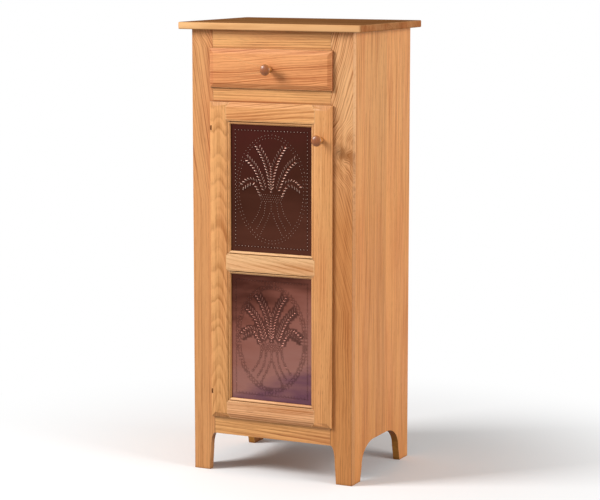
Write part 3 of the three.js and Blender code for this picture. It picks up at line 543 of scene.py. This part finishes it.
# Back, floor and cleats: a plywood back in the sides' rabbets, a solid oak floor in their grooves,
# and two cleats screwed under the top. Indoor surfaces get a thinner coat, so they stay matter.
plywood = oak("oak-faced plywood", "xyz", (0.05, 0.0, 0.4), lean=(0.0, 0.03), ring=5 * MM)
finish_node("back_panel", plywood)
finish_node("cabinet_floor", oak("oak floor board", "yzx", (0.0, 0.0, 0.3), roughness=0.55))
for side in ("left", "right"):
    finish_node(f"top_cleat_{side}", oak(f"oak cleat {side}", "zxy", (1.15, 0.1, 0.2), roughness=0.6))

# Top: edge-glued oak planks with the grain along the front, small round-overs all round and rounded
# front corners, held by the cleats.
top = eased("top_planks", "top_board")
top_oak = oak(
    "lacquered oak top",
    "yzx",
    (0.02, 1.12, 0.5),
    lean=(0.0, 0.03),
    plank_edges=[-192, -96, -8, 88, 214],
    seed=11,
    roughness=0.62,
    light="#f2bd84",
    dark="#b98047",
    gloss=0.0,
    # the upper face is darkened by this painted shade
    upper_face_painted_shade="#a9998c",
    thirst=1.15,
)
dress(top, "top_board", top_oak)

# Shelves: oak boards with eased front edges, each on four pins pushed into the sides. The pins are
# brass browned in a bath, which leaves them dull and a little spotted.


def mottled(name, scale, detail, stops, rough, metallic, bumps=0.0):
    """A finish in fine spots: one noise of that scale and detail picks the colour between stops,
    the roughness from a range, and how strongly the surface stands up, if it has bumps."""
    material = start_material(name)
    spots = add(material, "TexNoise", {"Scale": scale, "Detail": detail})
    colour = add(material, "ValToRGB", {0: spots})
    set_stops(colour, [(place, linear(tone)) for place, tone in stops])
    shine = add(material, "MapRange", {"Value": spots, "To Min": rough[0], "To Max": rough[1]})
    finish = {"Base Color": colour, "Metallic": metallic, "Roughness": shine}
    if bumps:
        relief = {"Height": spots, "Strength": bumps, "Distance": 0.1 * MM}
        finish["Normal"] = add(material, "Bump", relief)
    add(material, "OutputMaterial", {"Surface": add(material, "BsdfPrincipled", finish)})
    return material


pin_brass = mottled("antiqued brass", 900.0, 3.0, [(0.35, "#4c260e"), (0.7, "#85542a")], (0.3, 0.55), 1.0)
for place in ("lower", "upper"):
    node = f"shelf_{place}"
    shelf = eased(f"shelf_board_{place}", node, 1.5 * MM, front_arrises(node))
    heart = (0.04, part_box(node)[0].z - 0.09, 0.2)
    shelf_oak = oak(f"oak shelf {place}", "yzx", heart, lean=(0.0, 0.03), roughness=0.55)
    dress(shelf, node, shelf_oak)
    for side in ("left", "right"):
        for end in ("front", "back"):
            finish_node(f"shelf_pin_{place}_{side}_{end}", pin_brass)

# Drawer way: runners glued along the sides, guides glued on top of them, and a kicker under the
# top, all of oak that is planed and left without lacquer, so it stays matt
for side in ("left", "right"):
    for board, heart in (("runner", (0.1, 0.9, 0.2)), ("guide", (0.2, 0.95, 0.5))):
        planed = oak(f"planed oak {board} {side}", "xzy", heart, roughness=0.7)
        finish_node(f"drawer_{board}_{side}", planed)
finish_node("drawer_kicker", oak("planed oak kicker", "xzy", (0.05, 1.1, 0.1), roughness=0.7))

# Drawer: a lipped oak front with a wide bevel, dovetailed to planed sides, with a plywood bottom
# that slides into their grooves
lip_depth = 9.525 * MM
drawer_lip_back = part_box("drawer_front")[0].y + lip_depth
short_edge = 8 * MM


def drawer_front_arrises(a, b):
    """The long edges of the drawer front's face, bevel and lip."""
    apart = abs(a - b)
    in_lip = np.maximum(a[:, 1], b[:, 1]) < drawer_lip_back + same_place
    return in_lip & (apart[:, 0] + apart[:, 2] > short_edge)


drawer_front = eased("drawer_face", "drawer_front", 0.8 * MM, drawer_front_arrises)
drawer_oak = oak(
    "lacquered oak drawer front",
    "zyx",
    (0.93, -0.115, 0.05),
    lean=(0.1, 0.02),
    ring=4.8 * MM,
    wander=18 * MM,
    wander_length=170 * MM,
    contrast=1.25,
    light="#f2a86c",
    dark="#b0602c",
    gloss=0.25,
    thirst=0.6,
    wear_and_highlight=0.55,
)
dress(drawer_front, "drawer_front", drawer_oak)
for board, order, heart in (
    ("side_left", "zxy", (1.0, 0.1, 0.3)),
    ("side_right", "zxy", (1.0, 0.1, 0.3)),
    ("back", "zyx", (1.0, 0.1, 0.3)),
    ("stop", "xyz", (0.0, 0.1, 0.9)),
):
    planed = oak(f"planed oak drawer {board.replace('_', ' ')}", order, heart, roughness=0.6)
    finish_node(f"drawer_{board}", planed)
birch = oak("birch-faced plywood", "yzx", (0.0, 0.9, 0.3), ring=6 * MM, contrast=0.4, roughness=0.6)
finish_node("drawer_bottom", birch)

# Door frame: stiles and rails with a bead and step stuck on their inner edges, coped and tenoned at
# the corners, with a bevelled lip round the outside
door_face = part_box("door_stile_right")[0].y
bevel_depth = 3.3 * MM
bead_line_depth = 1.9 * MM
quirk_sink = 2.2 * MM
door_figures = {
    "stile_left": {
        "heart": (-0.152, -0.12, 0.4),
        "lean": (0.0, 0.1),
        "ring": 4.5 * MM,
        "wander": 7 * MM,
        "contrast": 0.75,
        "light": "#e6a668",
        "dark": "#a4652a",
    },
    "stile_right": {
        "heart": (0.32, -0.2, 0.9),
        "lean": (0.02, 0.01),
        "ring": 7 * MM,
        "contrast": 0.45,
        "light": "#ecab6c",
        "dark": "#a8672e",
    },
    "rail_bottom": {
        "heart": (0.12, -0.16, 0.2),
        "lean": (0.0, 0.03),
        "ring": 6 * MM,
        "light": "#fbc08c",
        "dark": "#ae6c37",
    },
    "rail_middle": {
        "heart": (0.5, -0.14, 0.1),
        "lean": (-0.14, 0.03),
        "ring": 10 * MM,
        "light": "#f3bf8a",
        "dark": "#b3793f",
        "contrast": 0.8,
    },
    "rail_top": {
        "heart": (0.94, -0.14, -0.2),
        "lean": (0.12, 0.03),
        "ring": 5.5 * MM,
        "light": "#f6b675",
        "dark": "#a8652c",
    },
}


def stile_arrises(a, b):
    """The long edges at the door's face, its bevel and its step."""
    in_front = np.maximum(a[:, 1], b[:, 1]) < door_face + bevel_depth
    return in_front & (np.linalg.norm(a - b, axis=1) > short_edge)


def rail_arrises(a, b):
    """The same without the shoulders, which are sanded flush with the stiles."""
    return stile_arrises(a, b) & (abs(a[:, 0] - b[:, 0]) > same_place)


def deepened_quirk(places):
    """The line of points along the outer side of the bead, sunk to make a dark quirk."""
    bead_line = abs(places[:, 1] - door_face - bead_line_depth) < same_place
    return places + np.outer(bead_line, (0, quirk_sink, 0)).astype(np.float32)


for place, figure in door_figures.items():
    node = f"door_{place}"
    upright = place.startswith("stile")
    chosen = stile_arrises if upright else rail_arrises
    member = eased(f"{node}_moulded", node, 0.6 * MM, chosen, deepened_quirk)
    order = "xyz" if upright else "zyx"
    figure = {"wander": 9 * MM, "wear_and_highlight": 0.55, "gloss": 0.25, **figure}
    dress(member, node, oak(f"lacquered oak door {place}", order, **figure))

# Copper panels: thin sheet, punched from behind on a block, then darkened and lacquered. The raised rims
# of the punch marks are painted bright, partly as copper bared by rubbing and partly as painted highlight
copper_thickness = 0.7 * MM
panel_lap = 6.35 * MM
punch_height = 1.25 * MM
stroke_size = (12.5 * MM, 3.6 * MM)
middle_stroke_size = (10 * MM, 3.4 * MM)
dot_size = (2.9 * MM, 2.9 * MM)
oval_pair_spacing = 8 * MM
oval_pitch = 10 * MM
stroke_pitch = 8.6 * MM
middle_pitch = 6.6 * MM
stem_pitch = 6.6 * MM
border_pitch = 9.7 * MM
border_inset = np.array([13.4, 15]) * MM
oval_inset = np.array([20.4, 29.5]) * MM
sheet_pitch = 8 * MM
buckle = 0.35 * MM
buckle_fade = 25 * MM
ear_lean = math.radians(48)
stroke_hang = 0.3  # the share of a stroke that hangs back from its row
tip_rise = 0.35
dot_bright = 0.48
tie_bright = 0.42
most_bright = 0.85
# Round every mark: a ring's share of the mark's ellipse, its count of points, and its turn
mark_rings = [(1.3, 12, 0.5), (1.0, 12, 0.0), (0.72, 10, 0.5), (0.4, 8, 0.0)]
clear_distance = 1.7
# Rows run from root to tip, through shares of half the panel's width and height, on its right half
ear_rows = [
    (-ear_lean, 0.85, [(0.058, 0.03), (0.09, 0.175), (0.145, 0.315), (0.24, 0.484), (0.394, 0.662)]),
    (ear_lean, 0.65, [(0.03, 0.41), (0.128, 0.542), (0.265, 0.688)]),
    (-ear_lean, 0.85, [(0.232, 0), (0.323, 0.152), (0.443, 0.303), (0.63, 0.432)]),
    (ear_lean, 0.65, [(0.124, 0.047), (0.215, 0.216), (0.365, 0.391), (0.576, 0.525)]),
    (ear_lean, 0.75, [(0.373, 0.146), (0.48, 0.172), (0.62, 0.149), (0.763, 0.064)]),
    (-ear_lean, 0.85, [(0.3, -0.093), (0.356, -0.017), (0.448, 0.058), (0.56, 0.03), (0.7, -0.03)]),
]
stem_rows = [
    [(0.249, -0.216), (0.315, -0.373), (0.472, -0.534)],
    [(0.141, -0.216), (0.186, -0.411), (0.352, -0.624)],
    [(0.041, -0.379), (0.1, -0.49), (0.257, -0.703)],
]
middle_rows = [
    [(-0.3, -0.085), (0.3, -0.085)],
    [(-0.275, -0.12), (0.275, -0.12)],
    [(-0.25, -0.155), (0.25, -0.155)],
    [(-0.225, -0.19), (0.225, -0.19)],
    [(0, -0.23), (0, -0.34)],
]
middle_ear = [(0, -0.04), (0, 0.36)]


def row_marks(shares, half, pitch):
    """Evenly spaced places and directions along a Catmull-Rom curve through the row's points."""
    points = np.array(shares) * half
    padded = np.vstack([points[:1], points, points[-1:]])
    place = np.linspace(0, len(points) - 1, 401)
    start = np.minimum(place.astype(int), len(points) - 2)
    t = (place - start)[:, None]
    before, here, there, after = (padded[start + i] for i in range(4))
    out, back = (there - before) / 2, (after - here) / 2
    curve = ((2 * (here - there) + out + back) * t + 3 * (there - here) - 2 * out - back) * t**2
    curve = curve + out * t + here
    steps = np.diff(curve, axis=0)
    way = np.concatenate([[0], np.cumsum(np.hypot(*steps.T))])
    stops = np.linspace(0, way[-1], max(1, int(way[-1] / pitch + 0.5)) + 1)
    angle = np.arctan2(steps[:, 1], steps[:, 0])
    at = [np.interp(stops, way, curve[:, i]) for i in (0, 1)]
    return np.column_stack([*at, np.interp(stops, (way[1:] + way[:-1]) / 2, np.unwrap(angle))])


def ornament(half, mark_wear_and_light):
    """Every punch mark as its place, the direction of its length, half its length and width, how bright
    its rim is painted, partly for rubbing and partly as painted highlight, and how much more its outer
    tip is raised than its inner one. The second argument gives that brightness for each part of the
    ornament. A mark painted brighter than most_bright is held there and darkened in painted shade
    instead."""
    kinds = []
    for lean, bright, points in ear_rows:
        row = row_marks(points, half, stroke_pitch) + [0, 0, lean]
        tip_first = np.column_stack([np.cos(row[:, 2]), np.sin(row[:, 2]), np.zeros(len(row))])
        row = row - tip_first * stroke_size[0] * stroke_hang
        brighter = bright * np.linspace(0.7, 1.0, len(row))
        mirrored = [-1, 1, -1] * row + [0, 0, math.pi]
        kinds.append((mirrored, stroke_size, brighter * mark_wear_and_light["left"], tip_rise))
        kinds.append((row, stroke_size, brighter * mark_wear_and_light["right"], tip_rise))
    middle = row_marks(middle_ear, half, middle_pitch) * [1, 1, 0]
    kinds.append((middle, middle_stroke_size, mark_wear_and_light["middle"], 0.0))
    sweep = np.linspace(0, 2 * math.pi, 2001)
    radii = half - oval_inset
    oval = np.column_stack([np.cos(sweep), np.sin(sweep)]) * radii
    way = np.concatenate([[0], np.cumsum(np.hypot(*np.diff(oval, axis=0).T))])
    count = int(way[-1] / oval_pitch + 0.5)
    turn = np.interp(np.arange(count) / count * way[-1], way, sweep)
    outward = np.arctan2(np.sin(turn) * radii[0], np.cos(turn) * radii[1])
    for way_out in (-0.5, 0.5):
        apart = np.column_stack([np.cos(outward), np.sin(outward)]) * way_out * oval_pair_spacing
        around = np.column_stack([np.cos(turn), np.sin(turn)]) * radii + apart
        kinds.append((np.column_stack([around, outward]), dot_size, dot_bright, 0.0))
    for points in stem_rows:
        stem = row_marks(points, half, stem_pitch)
        kinds.append((stem, dot_size, dot_bright, 0.0))
        kinds.append((stem * [-1, 1, 1], dot_size, dot_bright, 0.0))
    for points in middle_rows:
        kinds.append((row_marks(points, half, stem_pitch), dot_size, tie_bright, 0.0))
    reach = half - border_inset
    for along, across in ((0, 1), (1, 0)):
        count = int(2 * reach[along] / border_pitch + 0.5)
        for direction in (-1, 1):
            side = np.zeros((count, 3))
            side[:, along] = direction * reach[along] * (1 - 2 * np.arange(count) / count)
            side[:, across] = (direction if along == 0 else -direction) * reach[across]
            kinds.append((side, dot_size, mark_wear_and_light["border"], 0.0))
    marks = []
    for places, (length, width), bright, tip in kinds:
        each = np.ones(len(places))
        shape = [each * length / 2, each * width / 2, each * bright, each * tip]
        marks.append(np.column_stack([places, *shape]))
    return np.vstack(marks)


def nearest_mark(points, marks):
    """Each point's distance from its nearest mark as a share of the mark's own ellipse, that mark's
    brightness, and its height there, which grows towards its outer tip."""
    offset = points[:, None, :] - marks[None, :, :2]
    cosine, sine = np.cos(marks[:, 2]), np.sin(marks[:, 2])
    along = (offset[..., 0] * cosine + offset[..., 1] * sine) / marks[:, 3]
    across = (offset[..., 1] * cosine - offset[..., 0] * sine) / marks[:, 4]
    distance = np.hypot(along, across)
    nearest = distance.argmin(axis=1)
    row = np.arange(len(points))
    tip = marks[nearest, 6] * np.clip(along[row, nearest], -1, 1)
    return distance[row, nearest], marks[nearest, 5] * (1 + tip) / (1 + marks[nearest, 6]), 1 + tip / 2


def punched_sheet(name, node, shift, mark_wear_and_light):
    """A flat sheet of points, with rings of points round every punch mark, joined by Delaunay's
    rule. A mark's height follows its own ellipse: up from the sheet, over a rim, and down into a
    small dent. The open sheet between the marks buckles in slow waves that die out at its edges: a
    sine of the place across, bent by a sine of the height, plus the same the other way round."""
    low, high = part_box(node)
    middle = (low + high) / 2
    reach = np.array([high.x - low.x, high.z - low.z]) / 2
    half = reach - panel_lap
    marks = ornament(half, mark_wear_and_light)
    cosine, sine = np.cos(marks[:, 2:3]), np.sin(marks[:, 2:3])
    points = [marks[:, :2]]
    for share, count, turn in mark_rings:
        angle = (np.arange(count) + turn) * 2 * math.pi / count
        along = np.cos(angle) * share * marks[:, 3:4]
        across = np.sin(angle) * share * marks[:, 4:5]
        ring = np.stack([along * cosine - across * sine, along * sine + across * cosine], axis=2)
        points.append((ring + marks[:, None, :2]).reshape(-1, 2))
    columns, rows = np.ceil(2 * reach / sheet_pitch).astype(int) + 1
    grid = np.meshgrid(np.linspace(-reach[0], reach[0], columns), np.linspace(-reach[1], reach[1], rows))
    grid = np.column_stack([axis.ravel() for axis in grid])
    points.append(grid[nearest_mark(grid, marks)[0] > clear_distance])
    points = [Vector(point) for point in np.vstack(points)]
    joined = geometry.delaunay_2d_cdt(points, [], [], 0, same_place, False)
    plane = np.array([tuple(point) for point in joined[0]])
    faces = np.array(joined[2])
    distance, bright, height = nearest_mark(plane, marks)
    rise = np.interp(distance, [0.0, 0.4, 0.72, 1.0], [0.6, 1.0, 0.66, 0.0]) * height
    rub_and_highlight = np.interp(distance, [0.0, 0.4, 0.72, 1.0, 1.3, 1.5], [0.3, 1.0, 0.5, -1.0, -0.8, 0.0])
    rub_and_highlight = rub_and_highlight * np.minimum(bright, most_bright)
    # Painted shade: marks brighter than most_bright are darkened toward a brown
    mark_painted_shade = np.interp(distance, [1.0, 1.3], [1.0, 0.0]) * np.clip(bright - most_bright, 0, 1)
    window = np.prod(np.clip((half - abs(plane)) / buckle_fade, 0, 1), axis=1)
    x, z = (plane + shift).T
    waves = np.sin(x / 0.021 + np.sin(z / 0.05)) + np.sin(z / 0.033 + 1.3 * np.sin(x / 0.04))
    front = high.y - copper_thickness - rise * punch_height + window * (waves - 0.6) * buckle / 2
    back = front + copper_thickness
    skins = [np.column_stack([plane[:, 0] + middle.x, y, plane[:, 1] + middle.z]) for y in (front, back)]
    count = len(plane)
    directed = np.vstack([faces[:, [0, 1]], faces[:, [1, 2]], faces[:, [2, 0]]])
    pairs = np.sort(directed, axis=1)
    _, first, times = np.unique(pairs, axis=0, return_index=True, return_counts=True)
    edge = directed[first[times == 1]]
    rim = np.column_stack([edge[:, 1], edge[:, 0], edge[:, 0] + count, edge[:, 1] + count])
    all_faces = faces.tolist() + (faces[:, ::-1] + count).tolist() + rim.tolist()
    mesh = bpy.data.meshes.new(name)
    mesh.from_pydata(np.vstack(skins).tolist(), [], all_faces)
    smooth(mesh, 50)
    for trait, values in (("rub_and_highlight", rub_and_highlight), ("mark_painted_shade", mark_painted_shade)):
        attribute = mesh.attributes.new(trait, "FLOAT", "POINT")
        attribute.data.foreach_set("value", np.tile(values, 2).astype(np.float32))
    return into_scene(name, mesh)


def antique_copper(name, low, high, stops, shining, caking):
    """Copper under brown oxide and a clear lacquer. The oxide's colour drifts up the panel and across it,
    in clouds, partly as uneven patina and partly as painted reflection. The raised marks are painted
    lighter, partly where rubbing takes the oxide off and partly as painted highlight, and shining is how
    far. Caking is the two depths of hollow between which old wax fills them, and how dark it is. A mark
    painted past most_bright is darkened toward a brown, in painted shade."""
    material = start_material(name)
    place = add(material, "TexCoord").outputs["Object"]
    # The sheet came flat from between rolls, so its clouds lie in bands 160 mm wide and 45 mm high
    banded = add(material, "VectorMath", {0: place, 1: (6, 6, 22)}, operation="MULTIPLY")
    clouds = add(material, "TexNoise", {0: banded, "Scale": 1.0, "Detail": 3.0})
    cloudy = add(material, "MapRange", {"Value": clouds, "To Min": -0.3, "To Max": 0.3})
    axes = add(material, "SeparateXYZ", {0: place})
    up = add(material, "MapRange", {"Value": axes.outputs["Z"], "From Min": low.z, "From Max": high.z})
    sideways = {"Value": axes.outputs["X"], "From Min": low.x, "From Max": high.x}
    sideways = add(material, "MapRange", {**sideways, "To Min": 0.12, "To Max": -0.16})
    height = add(material, "Math", {0: up, 1: cloudy}, operation="ADD")
    height = add(material, "Math", {0: height, 1: sideways}, operation="ADD")
    ramp_place = add(material, "MapRange", {"Value": height, "From Min": -0.2, "From Max": 1.2})
    oxide = add(material, "ValToRGB", {0: ramp_place})
    set_stops(oxide, [((place_up + 0.2) / 1.4, linear(colour)) for place_up, colour in stops])
    rub_and_highlight = add(material, "Attribute", attribute_name="rub_and_highlight").outputs["Fac"]
    mark_painted_shade = add(material, "Attribute", attribute_name="mark_painted_shade").outputs["Fac"]
    shallow, deep, darkest = caking
    caked = {"Value": rub_and_highlight, "From Min": -shallow, "From Max": -deep, "To Max": darkest}
    caked = add(material, "MapRange", caked)
    # Partly painted highlight: the raised marks are mixed toward a pale copper, partly where rubbing
    # takes the oxide off
    wear_and_highlight = {"Value": rub_and_highlight, "From Min": 0.1, "From Max": 0.8, "To Max": shining}
    wear_and_highlight = add(material, "MapRange", wear_and_highlight)
    colour = oxide
    # hollows take dark wax, raised marks a pale partly painted highlight, and marks past most_bright a
    # painted brown shade
    for share_of, tone in ((caked, "#2c1410"), (wear_and_highlight, "#eac6b4"), (mark_painted_shade, "#52322b")):
        mixed = {"Fac": share_of, "Color1": colour, "Color2": linear(tone)}
        colour = add(material, "MixRGB", mixed)
    haze = add(material, "TexNoise", {0: place, "Scale": 60.0, "Detail": 4.0})
    shine = add(material, "MapRange", {"Value": haze, "To Min": 0.26, "To Max": 0.42})
    rolled = add(material, "Bump", {"Height": haze, "Strength": 0.1, "Distance": 0.2 * MM})
    finish = {"Base Color": colour, "Metallic": 1.0, "Roughness": shine, "Normal": rolled}
    lacquer = {"Coat Weight": 0.08, "Coat Roughness": 0.12}
    copper = add(material, "BsdfPrincipled", {**finish, **lacquer})
    add(material, "OutputMaterial", {"Surface": copper})
    return material


# The two sheets' oxide, shining and caking differ partly as patina and partly as painted light: the lower
# sheet is painted lighter, as if it mirrored the pale floor, and fewer of its marks are painted bright
panel_looks = {
    "upper": {
        "shift": (0.013, 0.05),
        "mark_wear_and_light": {"left": 0.95, "right": 0.75, "middle": 0.36, "border": 0.8},
        "oxide": [(0.0, "#532d21"), (0.5, "#412015"), (1.0, "#461d17")],
        "shining": 0.75,
        "caking": (0.35, 0.9, 0.95),
    },
    "lower": {
        "shift": (0.07, -0.02),
        "mark_wear_and_light": {"left": 2.2, "right": 3.0, "middle": 1.5, "border": 0.42},
        "oxide": [
            (0.0, "#68434f"),
            (0.22, "#95665c"),
            (0.5, "#8d5a4e"),
            (0.7, "#7b493d"),
            (0.95, "#48231a"),
        ],
        "shining": 0.08,
        "caking": (0.15, 0.5, 0.62),
    },
}
for place, look in panel_looks.items():
    node = f"copper_panel_{place}"
    sheet = punched_sheet(f"punched_sheet_{place}", node, look["shift"], look["mark_wear_and_light"])
    traits = (look["oxide"], look["shining"], look["caking"])
    dress(sheet, node, antique_copper(f"antiqued copper {place}", *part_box(node), *traits))
    for side, order in (("left", "xyz"), ("right", "xyz"), ("bottom", "zyx"), ("top", "zyx")):
        bead = oak(f"oak bead {place} {side}", order, (0.1, 0.05, 0.3), roughness=0.6)
        finish_node(f"retainer_{place}_{side}", bead)

# Knobs: mushrooms turned from close-grained hardwood, stained darker than the oak, lacquered, and
# held by a screw from inside
knob_radius = 15.1 * MM
knob_reach = 34.9 * MM
knob_rim_reach = 27.5 * MM
knob_base_radius = 7.9 * MM
knob_base_height = 1.8 * MM
knob_neck_radius = 5.6 * MM
knob_neck_reach = 9.5 * MM
knob_bore = 2.4 * MM
knob_bore_depth = 16 * MM
knob_ease = 0.4 * MM
knob_segments = 56


def ring_quads(rings, segments):
    """Quads that join rings of points, one ring to the next, each with that many segments."""
    start = np.arange(rings - 1)[:, None] * segments
    here = np.arange(segments)[None, :]
    there = (here + 1) % segments
    onward = start + segments
    return np.stack([start + here, start + there, onward + there, onward + here], axis=2).reshape(-1, 4)


def turned_knob(name, node):
    """A profile of radius against reach, turned about the knob's axis: a bored base, a neck that
    follows a cubic Bezier curve out to the rim, and a crown that is a quarter of an ellipse."""
    low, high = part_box(node)
    t = np.linspace(0, 1, 19)[:, None]
    controls = np.array(
        [
            (knob_base_radius, knob_base_height),
            (knob_neck_radius, knob_neck_reach / 2),
            (knob_neck_radius, (knob_neck_reach + knob_rim_reach) / 2),
            (knob_radius, knob_rim_reach),
        ]
    )
    neck = np.hstack([(1 - t) ** 3, 3 * t * (1 - t) ** 2, 3 * t**2 * (1 - t), t**3]) @ controls
    turn = np.linspace(0, math.pi / 2, 14)[1:-1]
    crown_reach = knob_rim_reach + (knob_reach - knob_rim_reach) * np.sin(turn)
    crown = np.column_stack([knob_radius * np.cos(turn), crown_reach])
    bore = [(knob_bore, knob_bore_depth), (knob_bore, 0)]
    base = [(knob_base_radius - knob_ease, 0), (knob_base_radius, knob_ease)]
    profile = np.vstack([bore, base, neck, crown])
    angle = np.arange(knob_segments) * 2 * math.pi / knob_segments
    middle_x, middle_z = (low.x + high.x) / 2, (low.z + high.z) / 2
    rings = np.stack(
        [
            middle_x + profile[:, :1] * np.cos(angle),
            np.repeat(high.y - profile[:, 1:], knob_segments, axis=1),
            middle_z + profile[:, :1] * np.sin(angle),
        ],
        axis=2,
    ).reshape(-1, 3)
    poles = [(middle_x, high.y - reach, middle_z) for reach in (knob_bore_depth, knob_reach)]
    first_pole, last_ring = len(rings), len(rings) - knob_segments
    fans = []
    for i in range(knob_segments):
        following = (i + 1) % knob_segments
        fans.append((first_pole, following, i))
        fans.append((first_pole + 1, last_ring + i, last_ring + following))
    mesh = bpy.data.meshes.new(name)
    quads = ring_quads(len(profile), knob_segments).tolist()
    mesh.from_pydata(np.vstack([rings, poles]).tolist(), [], quads + fans)
    smooth(mesh, 40)
    return into_scene(name, mesh)


zinc = mottled("zinc-plated steel", 700.0, 4.0, [(0.3, "#8d9094"), (0.7, "#c9cbc8")], (0.25, 0.45), 1.0)
for owner in ("drawer", "door"):
    node = f"{owner}_knob"
    low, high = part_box(node)
    stained = oak(
        f"stained turned knob {owner}",
        "xzy",
        ((low.x + high.x) / 2 + 0.02, low.z - 0.01, 0.2),
        ring=1.6 * MM,
        light="#d0944a",
        dark="#96602a",
        contrast=0.6,
        roughness=0.3,
        wear_and_highlight=0.15,
        gloss=0.5,
    )
    dress(turned_knob(f"turned_knob_{owner}", node), node, stained)
    finish_node(f"{node}_screw", zinc)

# Hinges: leaves that wrap into the gap beside the door, and pins with domed heads, all in the same
# antiqued brass as the shelf pins
for place in ("lower", "upper"):
    for part in ("frame_leaf", "pin", "door_leaf"):
        finish_node(f"hinge_{place}_{part}", pin_brass)

# Catch: a magnet in a moulded case on the middle rail, and a zinc-plated plate on the door. The
# case is nylon, matt and finely pitted.
nylon_tones = [(0.3, "#4f3a2b"), (0.7, "#654b39")]
nylon = mottled("moulded brown nylon", 1500.0, 2.0, nylon_tones, (0.5, 0.5), 0.0, bumps=0.2)
finish_node("catch_case", nylon)
finish_node("catch_strike", zinc)

# The studio: a pale floor, a key lamp at the left front, a broad fill at the right, and dim even
# light from all round
floor_radii = np.geomspace(0.5, 60.0, 14)
floor_segments = 64
floor_fade = (0.45, 1.3)  # metres from the middle between which the paper turns pure white


def seen_rays(owner):
    """1 for rays from the camera, reflections and clear surfaces, and 0 for those that carry light."""
    rays = add(owner, "LightPath")
    seen = {0: rays.outputs["Is Camera Ray"], 1: rays.outputs["Is Glossy Ray"]}
    seen = add(owner, "Math", seen, operation="MAXIMUM")
    clear = {0: seen, 1: rays.outputs["Is Transmission Ray"]}
    return add(owner, "Math", clear, operation="MAXIMUM")


floor_angle = np.arange(floor_segments) * 2 * math.pi / floor_segments
floor_points = np.zeros((len(floor_radii), floor_segments, 3))
floor_points[..., 0] = np.outer(floor_radii, np.cos(floor_angle))
floor_points[..., 1] = np.outer(floor_radii, np.sin(floor_angle))
floor_points = [(0, 0, 0), *floor_points.reshape(-1, 3).tolist()]
floor_fan = [(0, i + 1, (i + 1) % floor_segments + 1) for i in range(floor_segments)]
floor_quads = ring_quads(len(floor_radii), floor_segments)[:, ::-1] + 1
floor_mesh = bpy.data.meshes.new("studio_floor")
floor_mesh.from_pydata(floor_points, [], floor_fan + floor_quads.tolist())
floor = into_scene("studio_floor", floor_mesh)
floor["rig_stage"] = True
paper = start_material("white paper floor")
paper_place = add(paper, "TexCoord").outputs["Object"]
paper_way = add(paper, "VectorMath", {0: paper_place}, operation="LENGTH").outputs["Value"]
paper_far = {"Value": paper_way, "From Min": floor_fade[0], "From Max": floor_fade[1]}
paper_far = add(paper, "MapRange", paper_far, interpolation_type="SMOOTHSTEP")
paper_seen = seen_rays(paper)
paper_whiteness = add(paper, "Math", {0: paper_seen, 1: paper_far}, operation="MULTIPLY")
paper_tone = {"Fac": paper_seen, "Color1": linear("#b4b4b4"), "Color2": linear("#f9f9f9")}
paper_tone = add(paper, "MixRGB", paper_tone)
paper_matt = add(paper, "BsdfDiffuse", {"Color": paper_tone})
paper_white = add(paper, "Emission", {"Color": (1, 1, 1, 1), "Strength": 1.0})
paper_mix = add(paper, "MixShader", {0: paper_whiteness, 1: paper_matt, 2: paper_white})
add(paper, "OutputMaterial", {"Surface": paper_mix})
floor_mesh.materials.append(paper)

# The backdrop is white to the eye and in reflections, and lights the room only dimly
dim_light = 0.37
world = bpy.data.worlds.new("even studio light")
bpy.context.scene.world = world
world.use_nodes = True
world.node_tree.nodes.clear()
sky_strength = {"Value": seen_rays(world), "To Min": dim_light, "To Max": 1.0}
sky_strength = add(world, "MapRange", sky_strength)
sky = add(world, "Background", {"Color": (1, 1, 1, 1), "Strength": sky_strength})
add(world, "OutputWorld", {"Surface": sky})


def lamp(name, place, aim, size, power):
    """A square area lamp at a place, aimed at a point, with that side in metres and power in watts."""
    light = bpy.data.lights.new(name, "AREA")
    light.size = size
    light.energy = power
    lamp_object = into_scene(name, light)
    lamp_object.location = place
    direction = Vector(aim) - Vector(place)
    lamp_object.rotation_euler = direction.to_track_quat("-Z", "Y").to_euler()


lamp_aim = (0, 0, 0.6)
lamp("key lamp", (-2.75, -2.3, 2.8), lamp_aim, 1.5, 168)
lamp("fill lamp", (4.2, -0.6, 1.9), lamp_aim, 2.0, 98)

# Camera: to the right of the front, a little above the top, with a long lens
camera = into_scene("camera", bpy.data.cameras.new("camera"))
camera.data.lens = 126
camera.location = (2.49675, -5.14613, 1.44132)
camera.rotation_euler = (math.radians(90 - 8.35), 0, math.radians(25.85))
bpy.context.scene.camera = camera
bpy.context.scene.view_settings.view_transform = "Standard"

low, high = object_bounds()
